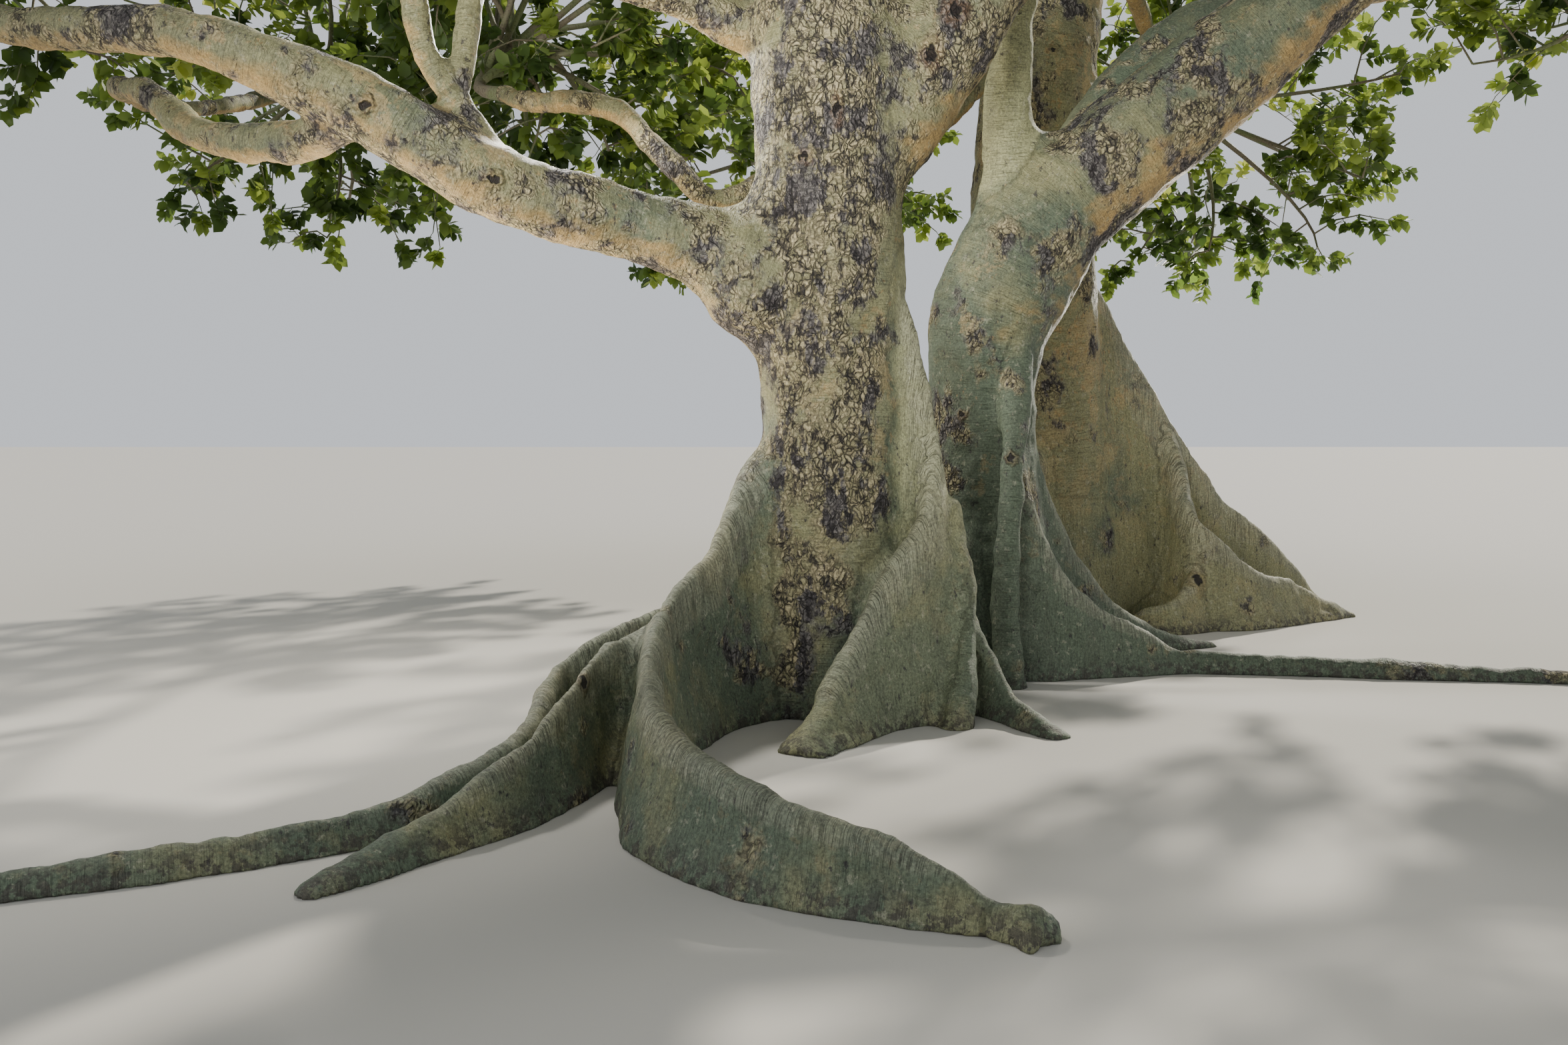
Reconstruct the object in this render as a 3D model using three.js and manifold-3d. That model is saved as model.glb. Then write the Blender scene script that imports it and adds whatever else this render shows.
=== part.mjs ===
// A large old fig tree with plank buttresses, in millimetres, +Z up.
// The origin is the centre of the middle stem's foot, on the flat cut at ground level.
// +X is to the right and +Y to the back of the side that shows the three stems apart.
import * as THREE from "three";
import { mergeVertices } from "three/addons/utils/BufferGeometryUtils.js";
import Module from "manifold-3d";

const wasm = await Module();
wasm.setup();

// Driving dimensions of the whole tree
const CROWN_CENTRE = { x: 800, y: 800 };
const CLEARANCE = 0.3; // between two pieces that meet
const BURIED = 200; // how far a root or stem runs on below the ground before it is cut flat
const TRUNK_SIDES = 14;
const BUTTRESS_SIDES = 8;
const BUTTRESS_FOOT = 1.9; // width at the ground, as a share of the thickness
const BUTTRESS_CREST = 0.75; // width near the upper edge
const BOUGH_SIDES = 6;

// Crown: three tiers of foliage, each a ring of masses round the crown's axis.
// A tier leans by `sink` millimetres: down at the back, and up over the front.
const TIERS = [
  { name: "low_foliage", count: 9, radius: 6900, height: 5450, sink: 750, reach: 2750, first: 180 },
  { name: "middle_foliage", count: 7, radius: 4500, height: 8500, sink: 100, reach: 2800, first: 208 },
  { name: "top_foliage", count: 4, radius: 2050, height: 11000, sink: 0, reach: 2700, first: 215 },
];
const INNER_FOLIAGE = { x: -2300, y: 3400, z: 4900, reach: 2300 }; // low behind the middle stem
const FLATNESS = 0.8; // a mass is this much lower than it is wide
const NECK = 0.64; // a bough ends at this share of the way out of its mass

// Foliage: twigs from one stem, each widening at its end into a spray of leaves, with another at its side
const TWIGS = 4;
const TRIES = 4; // turns at which a twig is tried before it is left out
const TWIG_REACH = 0.5; // share of the room that a twig takes, before its end spray
const TWIG_RADIUS = 40;
const SPRAY_WIDTH = 0.62; // share of its length
const SPRAY_THICKNESS = 0.026; // share of its length
const SPRAY_WAIST = 0.4; // its widest place, as a share of its length from its root
const ROOT_DEPTH = 4; // how far a spray's root is sunk past the twig's middle
const GOLDEN_ANGLE = Math.PI * (3 - Math.sqrt(5));

const BARK = { color: 0x8c8463, roughness: 0.85, metalness: 0 };
const LEAF = { color: 0x5d7a2c, roughness: 0.6, metalness: 0 };

// Solids

// A closed three.js geometry as a solid.
function solidOf(geometry) {
  geometry.deleteAttribute("normal");
  geometry.deleteAttribute("uv");
  const merged = mergeVertices(geometry, 1e-3);
  return new wasm.Manifold(
    new wasm.Mesh({
      numProp: 3,
      vertProperties: merged.attributes.position.array,
      triVerts: new Uint32Array(merged.index.array),
    }),
  );
}

// A solid as a named three.js mesh.
function meshOf(name, solid, finish) {
  const { numProp, numVert, vertProperties, triVerts } = solid.getMesh();
  const position = new Float32Array(numVert * 3);
  for (let i = 0; i < numVert; i++) {
    position.set(vertProperties.subarray(i * numProp, i * numProp + 3), i * 3);
  }
  const geometry = new THREE.BufferGeometry();
  geometry.setAttribute("position", new THREE.BufferAttribute(position, 3));
  geometry.setIndex(new THREE.BufferAttribute(triVerts, 1));
  geometry.computeVertexNormals();
  const mesh = new THREE.Mesh(geometry, new THREE.MeshStandardMaterial({ flatShading: true, ...finish }));
  mesh.name = name;
  return mesh;
}

// The largest piece of a solid, without loose scraps or the walls of a sealed hollow.
function largest(solid) {
  return solid.decompose().reduce((a, b) => (a.volume() > b.volume() ? a : b));
}

// A smooth path through points that are [x, y, z, radius], with the radius read along it.
class Path {
  constructor(points) {
    this.radii = points.map((p) => p[3]);
    this.curve = new THREE.CatmullRomCurve3(points.map(([x, y, z]) => new THREE.Vector3(x, y, z)));
  }
  at(t) {
    return this.curve.getPoint(t);
  }
  heading(t) {
    return this.curve.getTangent(t);
  }
  radius(t) {
    const place = THREE.MathUtils.clamp(t, 0, 1) * (this.radii.length - 1);
    const i = Math.min(Math.floor(place), this.radii.length - 2);
    return THREE.MathUtils.lerp(this.radii[i], this.radii[i + 1], place - i);
  }
}

// A closed cylinder of unit radius, bent along a path: `section` gives the place of a point of its wall
// from the share of the way along, and from its place across the cylinder.
function bentCylinder(sides, steps, section) {
  const geometry = new THREE.CylinderGeometry(1, 1, 1, sides, steps);
  const position = geometry.attributes.position;
  for (let i = 0; i < position.count; i++) {
    const placed = section(position.getY(i) + 0.5, position.getX(i), position.getZ(i));
    position.setXYZ(i, placed.x, placed.y, placed.z);
  }
  return solidOf(geometry);
}

// A round tapered limb. Its section is carried along the path without twisting.
function limbSolid(path, steps, grow, sides = BOUGH_SIDES) {
  const frames = [];
  let across = new THREE.Vector3(0, 1, 0);
  for (let i = 0; i <= steps; i++) {
    const along = path.heading(i / steps);
    across = across.clone().addScaledVector(along, -across.dot(along)).normalize();
    frames.push({ across, other: across.clone().cross(along) });
  }
  return bentCylinder(sides, steps, (t, x, z) => {
    const { across: side, other } = frames[Math.round(t * steps)];
    const radius = path.radius(t) + grow;
    return path
      .at(t)
      .addScaledVector(path.heading(t), grow * Math.sign(t - 0.5))
      .addScaledVector(side, x * radius)
      .addScaledVector(other, z * radius);
  });
}

// A buttress: an upright wall that follows its root over the ground, through [x, y, height, thickness].
// It spreads out to the ground and has a round upper edge.
function buttressSolid(points, grow) {
  const foot = new Path(points.map(([x, y, , thickness]) => [x, y, 0, thickness / 2]));
  const crest = new Path(points.map(([x, y, height]) => [x, y, 0, height]));
  const steps = Math.round(points.length * 1.5);
  return bentCylinder(BUTTRESS_SIDES, steps, (t, x, z) => {
    const along = foot.heading(t);
    const out = new THREE.Vector3(along.y, -along.x, 0).normalize();
    const height = z > 0 ? z * (crest.radius(t) + grow) : z * BURIED;
    const spread = THREE.MathUtils.lerp(BUTTRESS_CREST, BUTTRESS_FOOT, (1 - Math.max(z, 0)) ** 2);
    const half = foot.radius(t) * spread + grow;
    const placed = foot.at(t).addScaledVector(out, x * half);
    return placed.addScaledVector(along, grow * Math.sign(t - 0.5)).setZ(height);
  });
}

// Everything below the ground, to be cut away
const underground = solidOf(new THREE.BoxGeometry(40000, 40000, 4000).translate(0, 0, -2000));

// Stems: each is a trunk with its buttresses and any free-standing root, cut flat at ground level.
// Points of a trunk or a free root are [x, y, z, radius], and a buttress's are [x, y, height, thickness].
const STEMS = {
  middle_stem: {
    trunk: [
      [0, 60, -BURIED, 640],
      [0, 40, 450, 520],
      [-10, 20, 1100, 440],
      [-20, 0, 1900, 405],
      [-40, 0, 2700, 410],
      [-60, 0, 3500, 430],
    ],
    freeRoots: [],
    buttresses: [
      // the long curved wall: out to the left, forward, and round to the right
      [
        [0, 60, 2300, 420],
        [-420, -140, 1500, 330],
        [-690, -600, 930, 200],
        [-880, -1200, 740, 150],
        [-885, -1850, 600, 135],
        [-740, -2480, 470, 195],
        [-370, -2960, 350, 175],
        [70, -3200, 260, 140],
        [530, -3400, 50, 80],
      ],
      // the two low roots that leave the wall's back and run forward to the left
      [
        [-780, -560, 700, 150],
        [-1230, -930, 540, 130],
        [-1400, -1130, 440, 130],
        [-1440, -1850, 290, 130],
        [-1700, -2300, 160, 120],
        [-2200, -2680, 120, 110],
        [-2950, -3060, 85, 90],
        [-3700, -3400, 20, 60],
      ],
      [
        [-860, -1350, 650, 120],
        [-1100, -1820, 530, 100],
        [-1160, -2220, 430, 105],
        [-1320, -2430, 290, 125],
        [-1620, -2600, 140, 110],
        [-1950, -3080, 20, 70],
      ],
      // the smooth ridge down the right, whose foot turns to the front
      [
        [120, 0, 2700, 400],
        [440, -60, 2250, 230],
        [560, -200, 1550, 200],
        [480, -360, 1150, 180],
        [220, -560, 780, 165],
        [30, -760, 400, 150],
        [-110, -980, 140, 130],
        [-230, -1230, 15, 90],
      ],
      // the ridge between the middle and the right stem
      [
        [150, 40, 2500, 400],
        [560, -120, 1500, 220],
        [690, -290, 780, 150],
        [800, -430, 440, 135],
        [950, -660, 160, 120],
        [1120, -940, 15, 80],
      ],
      // the back
      [
        [0, 100, 2100, 400],
        [-330, 620, 1100, 260],
        [-620, 1250, 520, 180],
        [-820, 1950, 210, 130],
        [-1150, 2650, 30, 70],
      ],
      [
        [20, 100, 1900, 400],
        [160, 700, 1000, 260],
        [150, 1350, 460, 180],
        [-50, 2000, 180, 130],
        [-180, 2650, 30, 70],
      ],
    ],
  },
  right_stem: {
    trunk: [
      [1180, 1120, -BURIED, 560],
      [1150, 1100, 450, 430],
      [1090, 1050, 1200, 355],
      [1050, 1010, 1800, 350],
      [1070, 1000, 2250, 400],
      [1230, 1000, 2700, 410],
    ],
    // the upright column in front
    freeRoots: [
      [
        [1110, 800, 2300, 90],
        [1140, 600, 1800, 70],
        [1125, 540, 1250, 62],
        [1085, 480, 700, 66],
        [1075, 420, 300, 72],
        [1130, 330, -BURIED, 110],
      ],
    ],
    buttresses: [
      // the ridge to the right, which runs on as a long root along the ground
      [
        [1150, 950, 2200, 350],
        [1260, 680, 1400, 190],
        [1460, 670, 720, 150],
        [1800, 760, 400, 140],
        [2260, 840, 160, 130],
        [3300, 700, 110, 120],
        [4500, 500, 90, 110],
        [5600, 350, 20, 60],
      ],
      // the ridge behind it
      [
        [1200, 1150, 2100, 350],
        [1440, 1230, 1250, 190],
        [1700, 1340, 760, 150],
        [1980, 1460, 380, 140],
        [2350, 1620, 150, 120],
        [2850, 1760, 20, 70],
      ],
      // the back
      [
        [1150, 1150, 1800, 350],
        [900, 1650, 850, 220],
        [780, 2250, 300, 150],
        [560, 2800, 30, 70],
      ],
      // the low web that joins it to the middle stem
      [
        [1120, 1000, 1500, 280],
        [820, 700, 850, 190],
        [500, 380, 560, 150],
        [250, 200, 450, 120],
      ],
    ],
  },
  rear_stem: {
    trunk: [
      [1900, 3050, -BURIED, 760],
      [1880, 3020, 500, 640],
      [1800, 2960, 1400, 540],
      [1700, 2910, 2500, 485],
      [1670, 2900, 3500, 470],
      [1720, 2900, 4400, 440],
    ],
    freeRoots: [],
    buttresses: [
      // the great wall to the right
      [
        [1800, 3000, 3500, 560],
        [2330, 2970, 2450, 300],
        [2850, 2990, 1600, 210],
        [3300, 3090, 990, 170],
        [3700, 3300, 740, 150],
        [4060, 3500, 400, 140],
        [4450, 3750, 30, 80],
      ],
      // its forward lobe, which closes the pocket at its foot
      [
        [2850, 3000, 1500, 260],
        [2940, 2680, 780, 280],
        [3200, 2680, 640, 260],
        [3520, 2850, 420, 190],
        [3950, 2900, 270, 150],
        [4380, 2900, 20, 80],
      ],
      // the low sill that runs from the lobe's foot in front of the pocket
      [
        [2950, 2680, 700, 220],
        [2760, 2440, 380, 170],
        [2560, 2330, 160, 140],
        [2200, 2250, 20, 70],
      ],
      // the low web that joins it to the right stem
      [
        [1750, 2800, 1900, 380],
        [1500, 2150, 850, 220],
        [1350, 1650, 480, 170],
        [1250, 1250, 380, 140],
      ],
      // the back
      [
        [1850, 3100, 2400, 460],
        [2250, 3700, 1250, 290],
        [2800, 4300, 560, 190],
        [3350, 5050, 200, 140],
        [4050, 5500, 30, 70],
      ],
      [
        [1800, 3100, 2300, 460],
        [1500, 3750, 1150, 290],
        [1050, 4400, 480, 190],
        [750, 5200, 160, 130],
        [150, 5800, 30, 70],
      ],
    ],
  },
};

function stemSolid({ trunk, freeRoots, buttresses }, grow) {
  const pieces = [limbSolid(new Path(trunk), 10, grow, TRUNK_SIDES)];
  freeRoots.forEach((points) => pieces.push(limbSolid(new Path(points), 8, grow)));
  buttresses.forEach((points) => pieces.push(buttressSolid(points, grow)));
  return wasm.Manifold.union(pieces).subtract(underground);
}

// Boughs with a run of their own, from inside the parent to the foliage it carries.
// Points are [x, y, z, radius].
const BOUGHS = {
  left_bough: {
    carries: "low_foliage_1",
    points: [
      [-60, 20, 2290, 370],
      [-480, -50, 2445, 350],
      [-760, -130, 2585, 220],
      [-1150, -250, 2690, 190],
      [-1780, -500, 2845, 192],
      [-2520, -700, 3250, 180],
      [-3220, -800, 3510, 130],
      [-4430, -400, 3700, 100],
      [-4950, -150, 3980, 80],
    ],
  },
  right_bough: {
    carries: "low_foliage_6",
    points: [
      [1230, 1000, 2700, 410],
      [1440, 990, 2960, 385],
      [1800, 950, 3270, 365],
      [2540, 850, 3880, 320],
      [3300, 600, 4500, 260],
      [4500, 50, 5000, 180],
      [5750, -680, 5320, 90],
    ],
  },
  middle_leader: {
    carries: "top_foliage_1",
    points: [
      [-60, 0, 3500, 430],
      [-130, -20, 4200, 350],
      [-350, -250, 5600, 290],
      [-250, -500, 7200, 220],
      [-520, -500, 9350, 100],
    ],
  },
  right_fork: {
    carries: "middle_foliage_6",
    points: [
      [-20, 0, 2900, 300],
      [360, 50, 3410, 320],
      [760, 100, 3990, 280],
      [1350, -150, 4800, 230],
      [2200, -900, 6100, 160],
      [2950, -1850, 7250, 90],
    ],
  },
  rear_leader: {
    carries: "top_foliage_3",
    points: [
      [1720, 2900, 4400, 440],
      [1900, 3050, 5400, 340],
      [1950, 2600, 7000, 230],
      [2250, 2150, 9350, 100],
    ],
  },
  lower_left_bough: {
    carries: "low_foliage_2",
    points: [
      [-2480, -690, 3200, 110],
      [-2720, -560, 3080, 98],
      [-3070, -400, 3090, 93],
      [-3470, -200, 3170, 88],
      [-3930, 100, 3470, 75],
      [-4280, 500, 3600, 68],
      [-4500, 1800, 3800, 62],
      [-4560, 3450, 4300, 55],
    ],
  },
  upright_bough: {
    points: [
      [-1800, -500, 2850, 110],
      [-1900, -460, 3110, 82],
      [-2030, -480, 3300, 76],
    ],
  },
  upright_left_bough: {
    carries: "middle_foliage_1",
    points: [
      [-2030, -480, 3300, 72],
      [-2150, -500, 3480, 62],
      [-2210, -560, 3800, 60],
      [-2350, -850, 5000, 58],
      [-2700, -1150, 6900, 50],
    ],
  },
  upright_right_bough: {
    carries: "middle_foliage_2",
    points: [
      [-2000, -470, 3270, 60],
      [-1990, -400, 3500, 62],
      [-1960, -300, 3900, 62],
      [-1900, 700, 5300, 58],
      [-2500, 1900, 7000, 50],
    ],
  },
  upper_left_bough: {
    carries: "low_foliage_9",
    points: [
      [-80, 0, 3650, 150],
      [-480, 50, 3800, 135],
      [-780, -20, 3910, 105],
      [-1300, -250, 4060, 100],
      [-2200, -1400, 4700, 85],
      [-3200, -2500, 5350, 60],
    ],
  },
  green_bough: {
    carries: "top_foliage_4",
    points: [
      [1190, 1000, 2650, 240],
      [1130, 960, 3150, 175],
      [1110, 850, 3760, 135],
      [1200, 750, 4500, 125],
      [1700, 100, 6500, 105],
      [1900, -700, 9350, 70],
    ],
  },
  rear_right_bough: {
    carries: "low_foliage_5",
    points: [
      [1450, 1080, 2980, 220],
      [1830, 1400, 3600, 225],
      [2480, 1620, 4250, 200],
      [3900, 2100, 4750, 140],
      [5550, 2700, 5050, 80],
    ],
  },
  sweeping_bough: {
    carries: "inner_foliage",
    points: [
      [1600, 2900, 4380, 120],
      [1190, 2450, 4170, 100],
      [760, 2200, 3780, 100],
      [-250, 1950, 3400, 95],
      [-780, 1700, 3150, 90],
      [-1090, 1500, 3380, 78],
      [-1500, 1560, 3760, 72],
      [-2040, 1720, 3820, 66],
      [-2350, 2150, 4000, 60],
    ],
  },
};

// Boughs that only carry foliage: each leaves its parent at a share of the parent's run, and bows up.
const CARRIERS = {
  rear_low_bough: { carries: "low_foliage_3", parent: "rear_leader", at: 0.24, radius: 120 },
  rear_right_low_bough: { carries: "low_foliage_4", parent: "rear_leader", at: 0.36, radius: 120 },
  front_right_bough: { carries: "low_foliage_7", parent: "right_fork", at: 0.6, radius: 115 },
  front_bough: { carries: "low_foliage_8", parent: "middle_leader", at: 0.38, radius: 115 },
  rear_high_bough: { carries: "middle_foliage_3", parent: "rear_leader", at: 0.48, radius: 100 },
  rear_right_high_bough: { carries: "middle_foliage_4", parent: "rear_leader", at: 0.58, radius: 100 },
  right_high_bough: { carries: "middle_foliage_5", parent: "right_bough", at: 0.56, radius: 110 },
  front_high_bough: { carries: "middle_foliage_7", parent: "middle_leader", at: 0.56, radius: 95 },
  top_bough: { carries: "top_foliage_2", parent: "middle_leader", at: 0.74, radius: 80 },
};
const CARRIER_BOW = 0.14; // share of its length by which a carrier bows up
const CARRIER_TIP = 55; // radius

// Masses of foliage: a flattened ball each, cut off halfway to its neighbours so that no two share a space
function massesOfFoliage() {
  const masses = [];
  for (const { name, count, radius, height, sink, reach, first } of TIERS) {
    for (let i = 0; i < count; i++) {
      const turn = THREE.MathUtils.degToRad(first - (i * 360) / count);
      const out = new THREE.Vector3(Math.cos(turn), Math.sin(turn), 0);
      const centre = new THREE.Vector3(CROWN_CENTRE.x, CROWN_CENTRE.y, height - sink * out.y);
      masses.push({ name: `${name}_${i + 1}`, centre: centre.addScaledVector(out, radius), reach });
    }
  }
  const { x, y, z, reach } = INNER_FOLIAGE;
  masses.push({ name: "inner_foliage", centre: new THREE.Vector3(x, y, z), reach });
  return masses;
}

const masses = massesOfFoliage();

// How far a mass's space goes from its centre in a direction of unit length.
function room(mass, direction) {
  const level = Math.hypot(direction.x, direction.y) / mass.reach;
  const upright = direction.z / (mass.reach * FLATNESS);
  let far = 1 / Math.hypot(level, upright);
  for (const other of masses) {
    const between = other.centre.clone().sub(mass.centre);
    const towards = direction.dot(between);
    if (other !== mass && towards > 0) far = Math.min(far, between.lengthSq() / 2 / towards);
  }
  return far;
}

function isInside(mass, point) {
  const out = point.clone().sub(mass.centre);
  const distance = out.length();
  return distance < room(mass, out.normalize()) - CLEARANCE;
}

// A seeded source of numbers from 0 to 1, the same on every run.
function seeded(seed) {
  let state = seed;
  return () => {
    state = (state * 1664525 + 1013904223) % 4294967296;
    return state / 4294967296;
  };
}

// The directions of a flat spray: along it, across it, and up from its face.
function sprayFrame(direction, facing) {
  const across = facing.clone().cross(direction).normalize();
  return { across, upper: direction.clone().cross(across) };
}

// A three-sided twig that widens at its neck into a flat spray of leaves and ends in the spray's point.
function leafyTwigSolid(root, neck, length, direction, facing) {
  const { across, upper } = sprayFrame(direction, facing);
  const waist = neck.clone().addScaledVector(direction, length * SPRAY_WAIST);
  const rings = [
    { centre: root, wide: TWIG_RADIUS, thick: TWIG_RADIUS },
    { centre: neck, wide: TWIG_RADIUS * 0.5, thick: TWIG_RADIUS * 0.5 },
    { centre: waist, wide: length * SPRAY_WIDTH * 0.57, thick: length * SPRAY_THICKNESS * 0.66 },
    { centre: neck.clone().addScaledVector(direction, length), wide: 0, thick: 0 },
  ];
  const geometry = new THREE.ConeGeometry(1, 1, 3, rings.length - 1);
  const position = geometry.attributes.position;
  for (let i = 0; i < position.count; i++) {
    const corner = new THREE.Vector3().fromBufferAttribute(position, i);
    const { centre, wide, thick } = rings[Math.round((corner.y + 0.5) * (rings.length - 1))];
    const level = Math.hypot(corner.x, corner.z) || 1;
    const placed = centre
      .clone()
      .addScaledVector(across, (-corner.x / level) * wide)
      .addScaledVector(upper, (corner.z / level) * thick);
    position.setXYZ(i, placed.x, placed.y, placed.z);
  }
  return solidOf(geometry);
}

// A flat spray of leaves with eight faces, from its root along a direction.
function spraySolid(root, direction, facing, length) {
  const { across, upper } = sprayFrame(direction, facing);
  const geometry = new THREE.OctahedronGeometry(1);
  const position = geometry.attributes.position;
  for (let i = 0; i < position.count; i++) {
    if (Math.abs(position.getX(i)) < 0.5) position.setX(i, 2 * SPRAY_WAIST - 1);
  }
  geometry.scale(length / 2, (length * SPRAY_WIDTH) / 2, (length * SPRAY_THICKNESS) / 2);
  geometry.translate(length / 2 - ROOT_DEPTH, 0, 0);
  const placed = new THREE.Matrix4().makeBasis(direction, across, upper).setPosition(root);
  return solidOf(geometry.applyMatrix4(placed));
}

// The corners of a solid.
function cornersOf(solid) {
  const { numProp, numVert, vertProperties } = solid.getMesh();
  const corner = (_, i) => new THREE.Vector3().fromArray(vertProperties, i * numProp);
  return Array.from({ length: numVert }, corner);
}

// A mass of foliage: a stem that carries on from its bough, twigs that share its space out evenly, a side
// twig on each, and a spray at the end and on one side of every twig. What would leave the space, touch a
// limb or cross another piece of the mass isn't grown.
function foliageSolid(mass, bough, limbs, seed) {
  const random = seeded(seed);
  const start = bough.at(1).addScaledVector(bough.heading(1), CLEARANCE);
  const bend = start.clone().addScaledVector(bough.heading(1), mass.reach * 0.2);
  const thick = bough.radius(1) * 0.95;
  const stem = new Path([
    [...start, thick],
    [...bend, thick * 0.95],
    [...mass.centre, thick * 0.8],
  ]);
  const grown = [limbSolid(stem, 3, 0, 5)];

  // Grows a piece from the one that carries it, if there is room for it.
  function grow(solid, carrier) {
    const leaves = !cornersOf(solid).every((corner) => isInside(mass, corner));
    const touches = (other) => other !== carrier && !solid.intersect(other).isEmpty();
    if (leaves || limbs.some(touches) || grown.some(touches)) return null;
    grown.push(solid);
    return solid;
  }

  function facing() {
    return new THREE.Vector3(random() - 0.5, random() - 0.5, 0.9);
  }

  function growTwig(root, carrier, up, turn, spread) {
    const level = Math.sqrt(1 - up * up);
    const aim = new THREE.Vector3(Math.cos(turn) * level, Math.sin(turn) * level, up);
    const free = room(mass, aim);
    const neck = mass.centre.clone().addScaledVector(aim, free * TWIG_REACH);
    const twig = grow(leafyTwigSolid(root, neck, free * (0.98 - TWIG_REACH), aim, facing()), carrier);
    if (!twig) return null;
    const side = new THREE.Vector3(-Math.sin(turn), Math.cos(turn), 0).multiplyScalar(spread);
    const sideways = aim.clone().addScaledVector(side, 1.5).normalize();
    grow(spraySolid(root.clone().lerp(neck, 0.75), sideways, facing(), free * 0.45), twig);
    return { twig, root, neck };
  }

  // Grows a twig at the first of a few turns that has room for it.
  function tryTwig(root, carrier, up, turn, spread) {
    for (let i = 0; i < TRIES; i++) {
      const grownTwig = growTwig(root, carrier, up, turn + (i * spread * Math.PI) / TRIES, spread);
      if (grownTwig) return grownTwig;
    }
    return null;
  }

  const phase = random() * 2 * Math.PI;
  for (let i = 0; i < TWIGS; i++) {
    const up = 1 - (2 * i + 1) / TWIGS;
    const turn = phase + i * GOLDEN_ANGLE;
    const spread = i % 2 ? 1 : -1;
    const main = tryTwig(stem.at(0.55 + 0.4 * random()), grown[0], up, turn, spread);
    if (!main) continue;
    const fork = main.root.clone().lerp(main.neck, 0.5);
    tryTwig(fork, main.twig, up * 0.55 - 0.1, turn - spread * 1.15, -spread);
  }
  return largest(wasm.Manifold.union(grown));
}

// The tree
const tree = new THREE.Group();
const runs = {}; // each bough's path, by its name
const standing = []; // every stem and bough so far, a little larger than life

// Adds a stem or bough, cut clear of those that stand already.
function addWood(name, make) {
  const cut = standing.reduce((solid, other) => solid.subtract(other), make(0));
  tree.add(meshOf(name, largest(cut), BARK));
  standing.push(make(CLEARANCE));
}

function addBough(name, path, steps) {
  runs[name] = path;
  addWood(name, (grow) => limbSolid(path, steps, grow));
}

function massNamed(name) {
  return masses.find((mass) => mass.name === name);
}

// A carrier's path, from inside its parent to its mass.
function carrierPath({ carries, parent, at, radius }) {
  const mass = massNamed(carries);
  const from = runs[parent].at(at);
  const back = from.clone().sub(mass.centre).normalize();
  const to = mass.centre.clone().addScaledVector(back, room(mass, back) * NECK);
  const bow = from.distanceTo(to) * CARRIER_BOW;
  const points = [0, 0.33, 0.67, 1].map((t) => {
    const place = from.clone().lerp(to, t);
    place.z += bow * Math.sin(Math.PI * t);
    return [...place, THREE.MathUtils.lerp(radius, CARRIER_TIP, t)];
  });
  return new Path(points);
}

for (const [name, stem] of Object.entries(STEMS)) addWood(name, (grow) => stemSolid(stem, grow));
for (const [name, { points }] of Object.entries(BOUGHS)) addBough(name, new Path(points), points.length + 2);
for (const [name, carrier] of Object.entries(CARRIERS)) addBough(name, carrierPath(carrier), 6);

Object.entries({ ...BOUGHS, ...CARRIERS }).forEach(([name, { carries }], i) => {
  if (!carries) return;
  const foliage = foliageSolid(massNamed(carries), runs[name], standing, i + 1);
  tree.add(meshOf(carries, foliage, LEAF));
});

export default tree;
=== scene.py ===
import math

import bmesh
import bpy
import numpy as np
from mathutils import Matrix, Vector


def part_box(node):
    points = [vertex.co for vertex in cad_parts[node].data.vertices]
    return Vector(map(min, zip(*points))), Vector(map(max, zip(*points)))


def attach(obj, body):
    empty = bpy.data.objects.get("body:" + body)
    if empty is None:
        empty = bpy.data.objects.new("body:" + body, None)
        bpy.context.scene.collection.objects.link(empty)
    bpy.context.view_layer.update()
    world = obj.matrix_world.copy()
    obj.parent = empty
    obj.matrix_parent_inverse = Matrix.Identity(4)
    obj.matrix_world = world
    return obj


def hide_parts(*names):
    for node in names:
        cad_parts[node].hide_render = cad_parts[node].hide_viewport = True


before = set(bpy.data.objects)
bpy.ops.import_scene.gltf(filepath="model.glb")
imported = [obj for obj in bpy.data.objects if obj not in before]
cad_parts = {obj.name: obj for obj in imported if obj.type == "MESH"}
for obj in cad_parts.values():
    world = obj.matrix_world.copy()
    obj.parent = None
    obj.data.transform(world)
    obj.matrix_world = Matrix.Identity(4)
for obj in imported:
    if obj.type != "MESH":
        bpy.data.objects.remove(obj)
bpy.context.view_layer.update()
bpy.ops.object.select_all(action="DESELECT")


# Middle stem
# Living wood under thin bark: an upright trunk, the walls of root that run out from it over the ground,
# and the boughs that leave it. Each limb is a ring extruded along its run, bent and sized at every step,
# and all of them are then grown together into one skin.
BURIED = 0.2  # how far a stem runs on below the ground before it is cut flat
WALL_CREST = 0.8  # a wall's width near its upper edge, as a share of its thickness
WALL_FOOT = 1.9  # and at the ground
WALL_FULLNESS = 3.2  # how full its section stays towards its crest: 2 is an ellipse
WALL_POINTS = 28
SAME_LEVEL = 1e-4
TRUNK_POINTS = 28
BOUGH_POINTS = 14
RING_SPACING = 0.09
CORE_SPACING = 0.06  # between the places that the bark is measured from
CORE_LEVELS = (0, 0.2, 0.4, 0.6, 0.8, 1)
CORE_BLEND = 0.06  # how gradually one limb's bark gives way to the next one's
CORE_SHIFT = 7.3  # so that no two limbs have the same creases
WIDE_WEB = 0.15  # how far the bark webs over the angle where a wall or great bough leaves its trunk
SMALL_WEB = 0.03  # and where a small limb does
COARSE = 0.032  # the grid that a web is made on
WEB_SMOOTHING = 3
SMOOTHING = 6  # rounds that even out the finished skin
SWELLING = 0.006  # what the smoothing takes off, put back
LUMPS = {"size": 0.42, "depth": 0.07}
KNOBS = {"size": 0.13, "depth": 0.02}
FLAKES = {"size": 0.055, "depth": 0.007}
MOST_TRIANGLES = 190000
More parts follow.
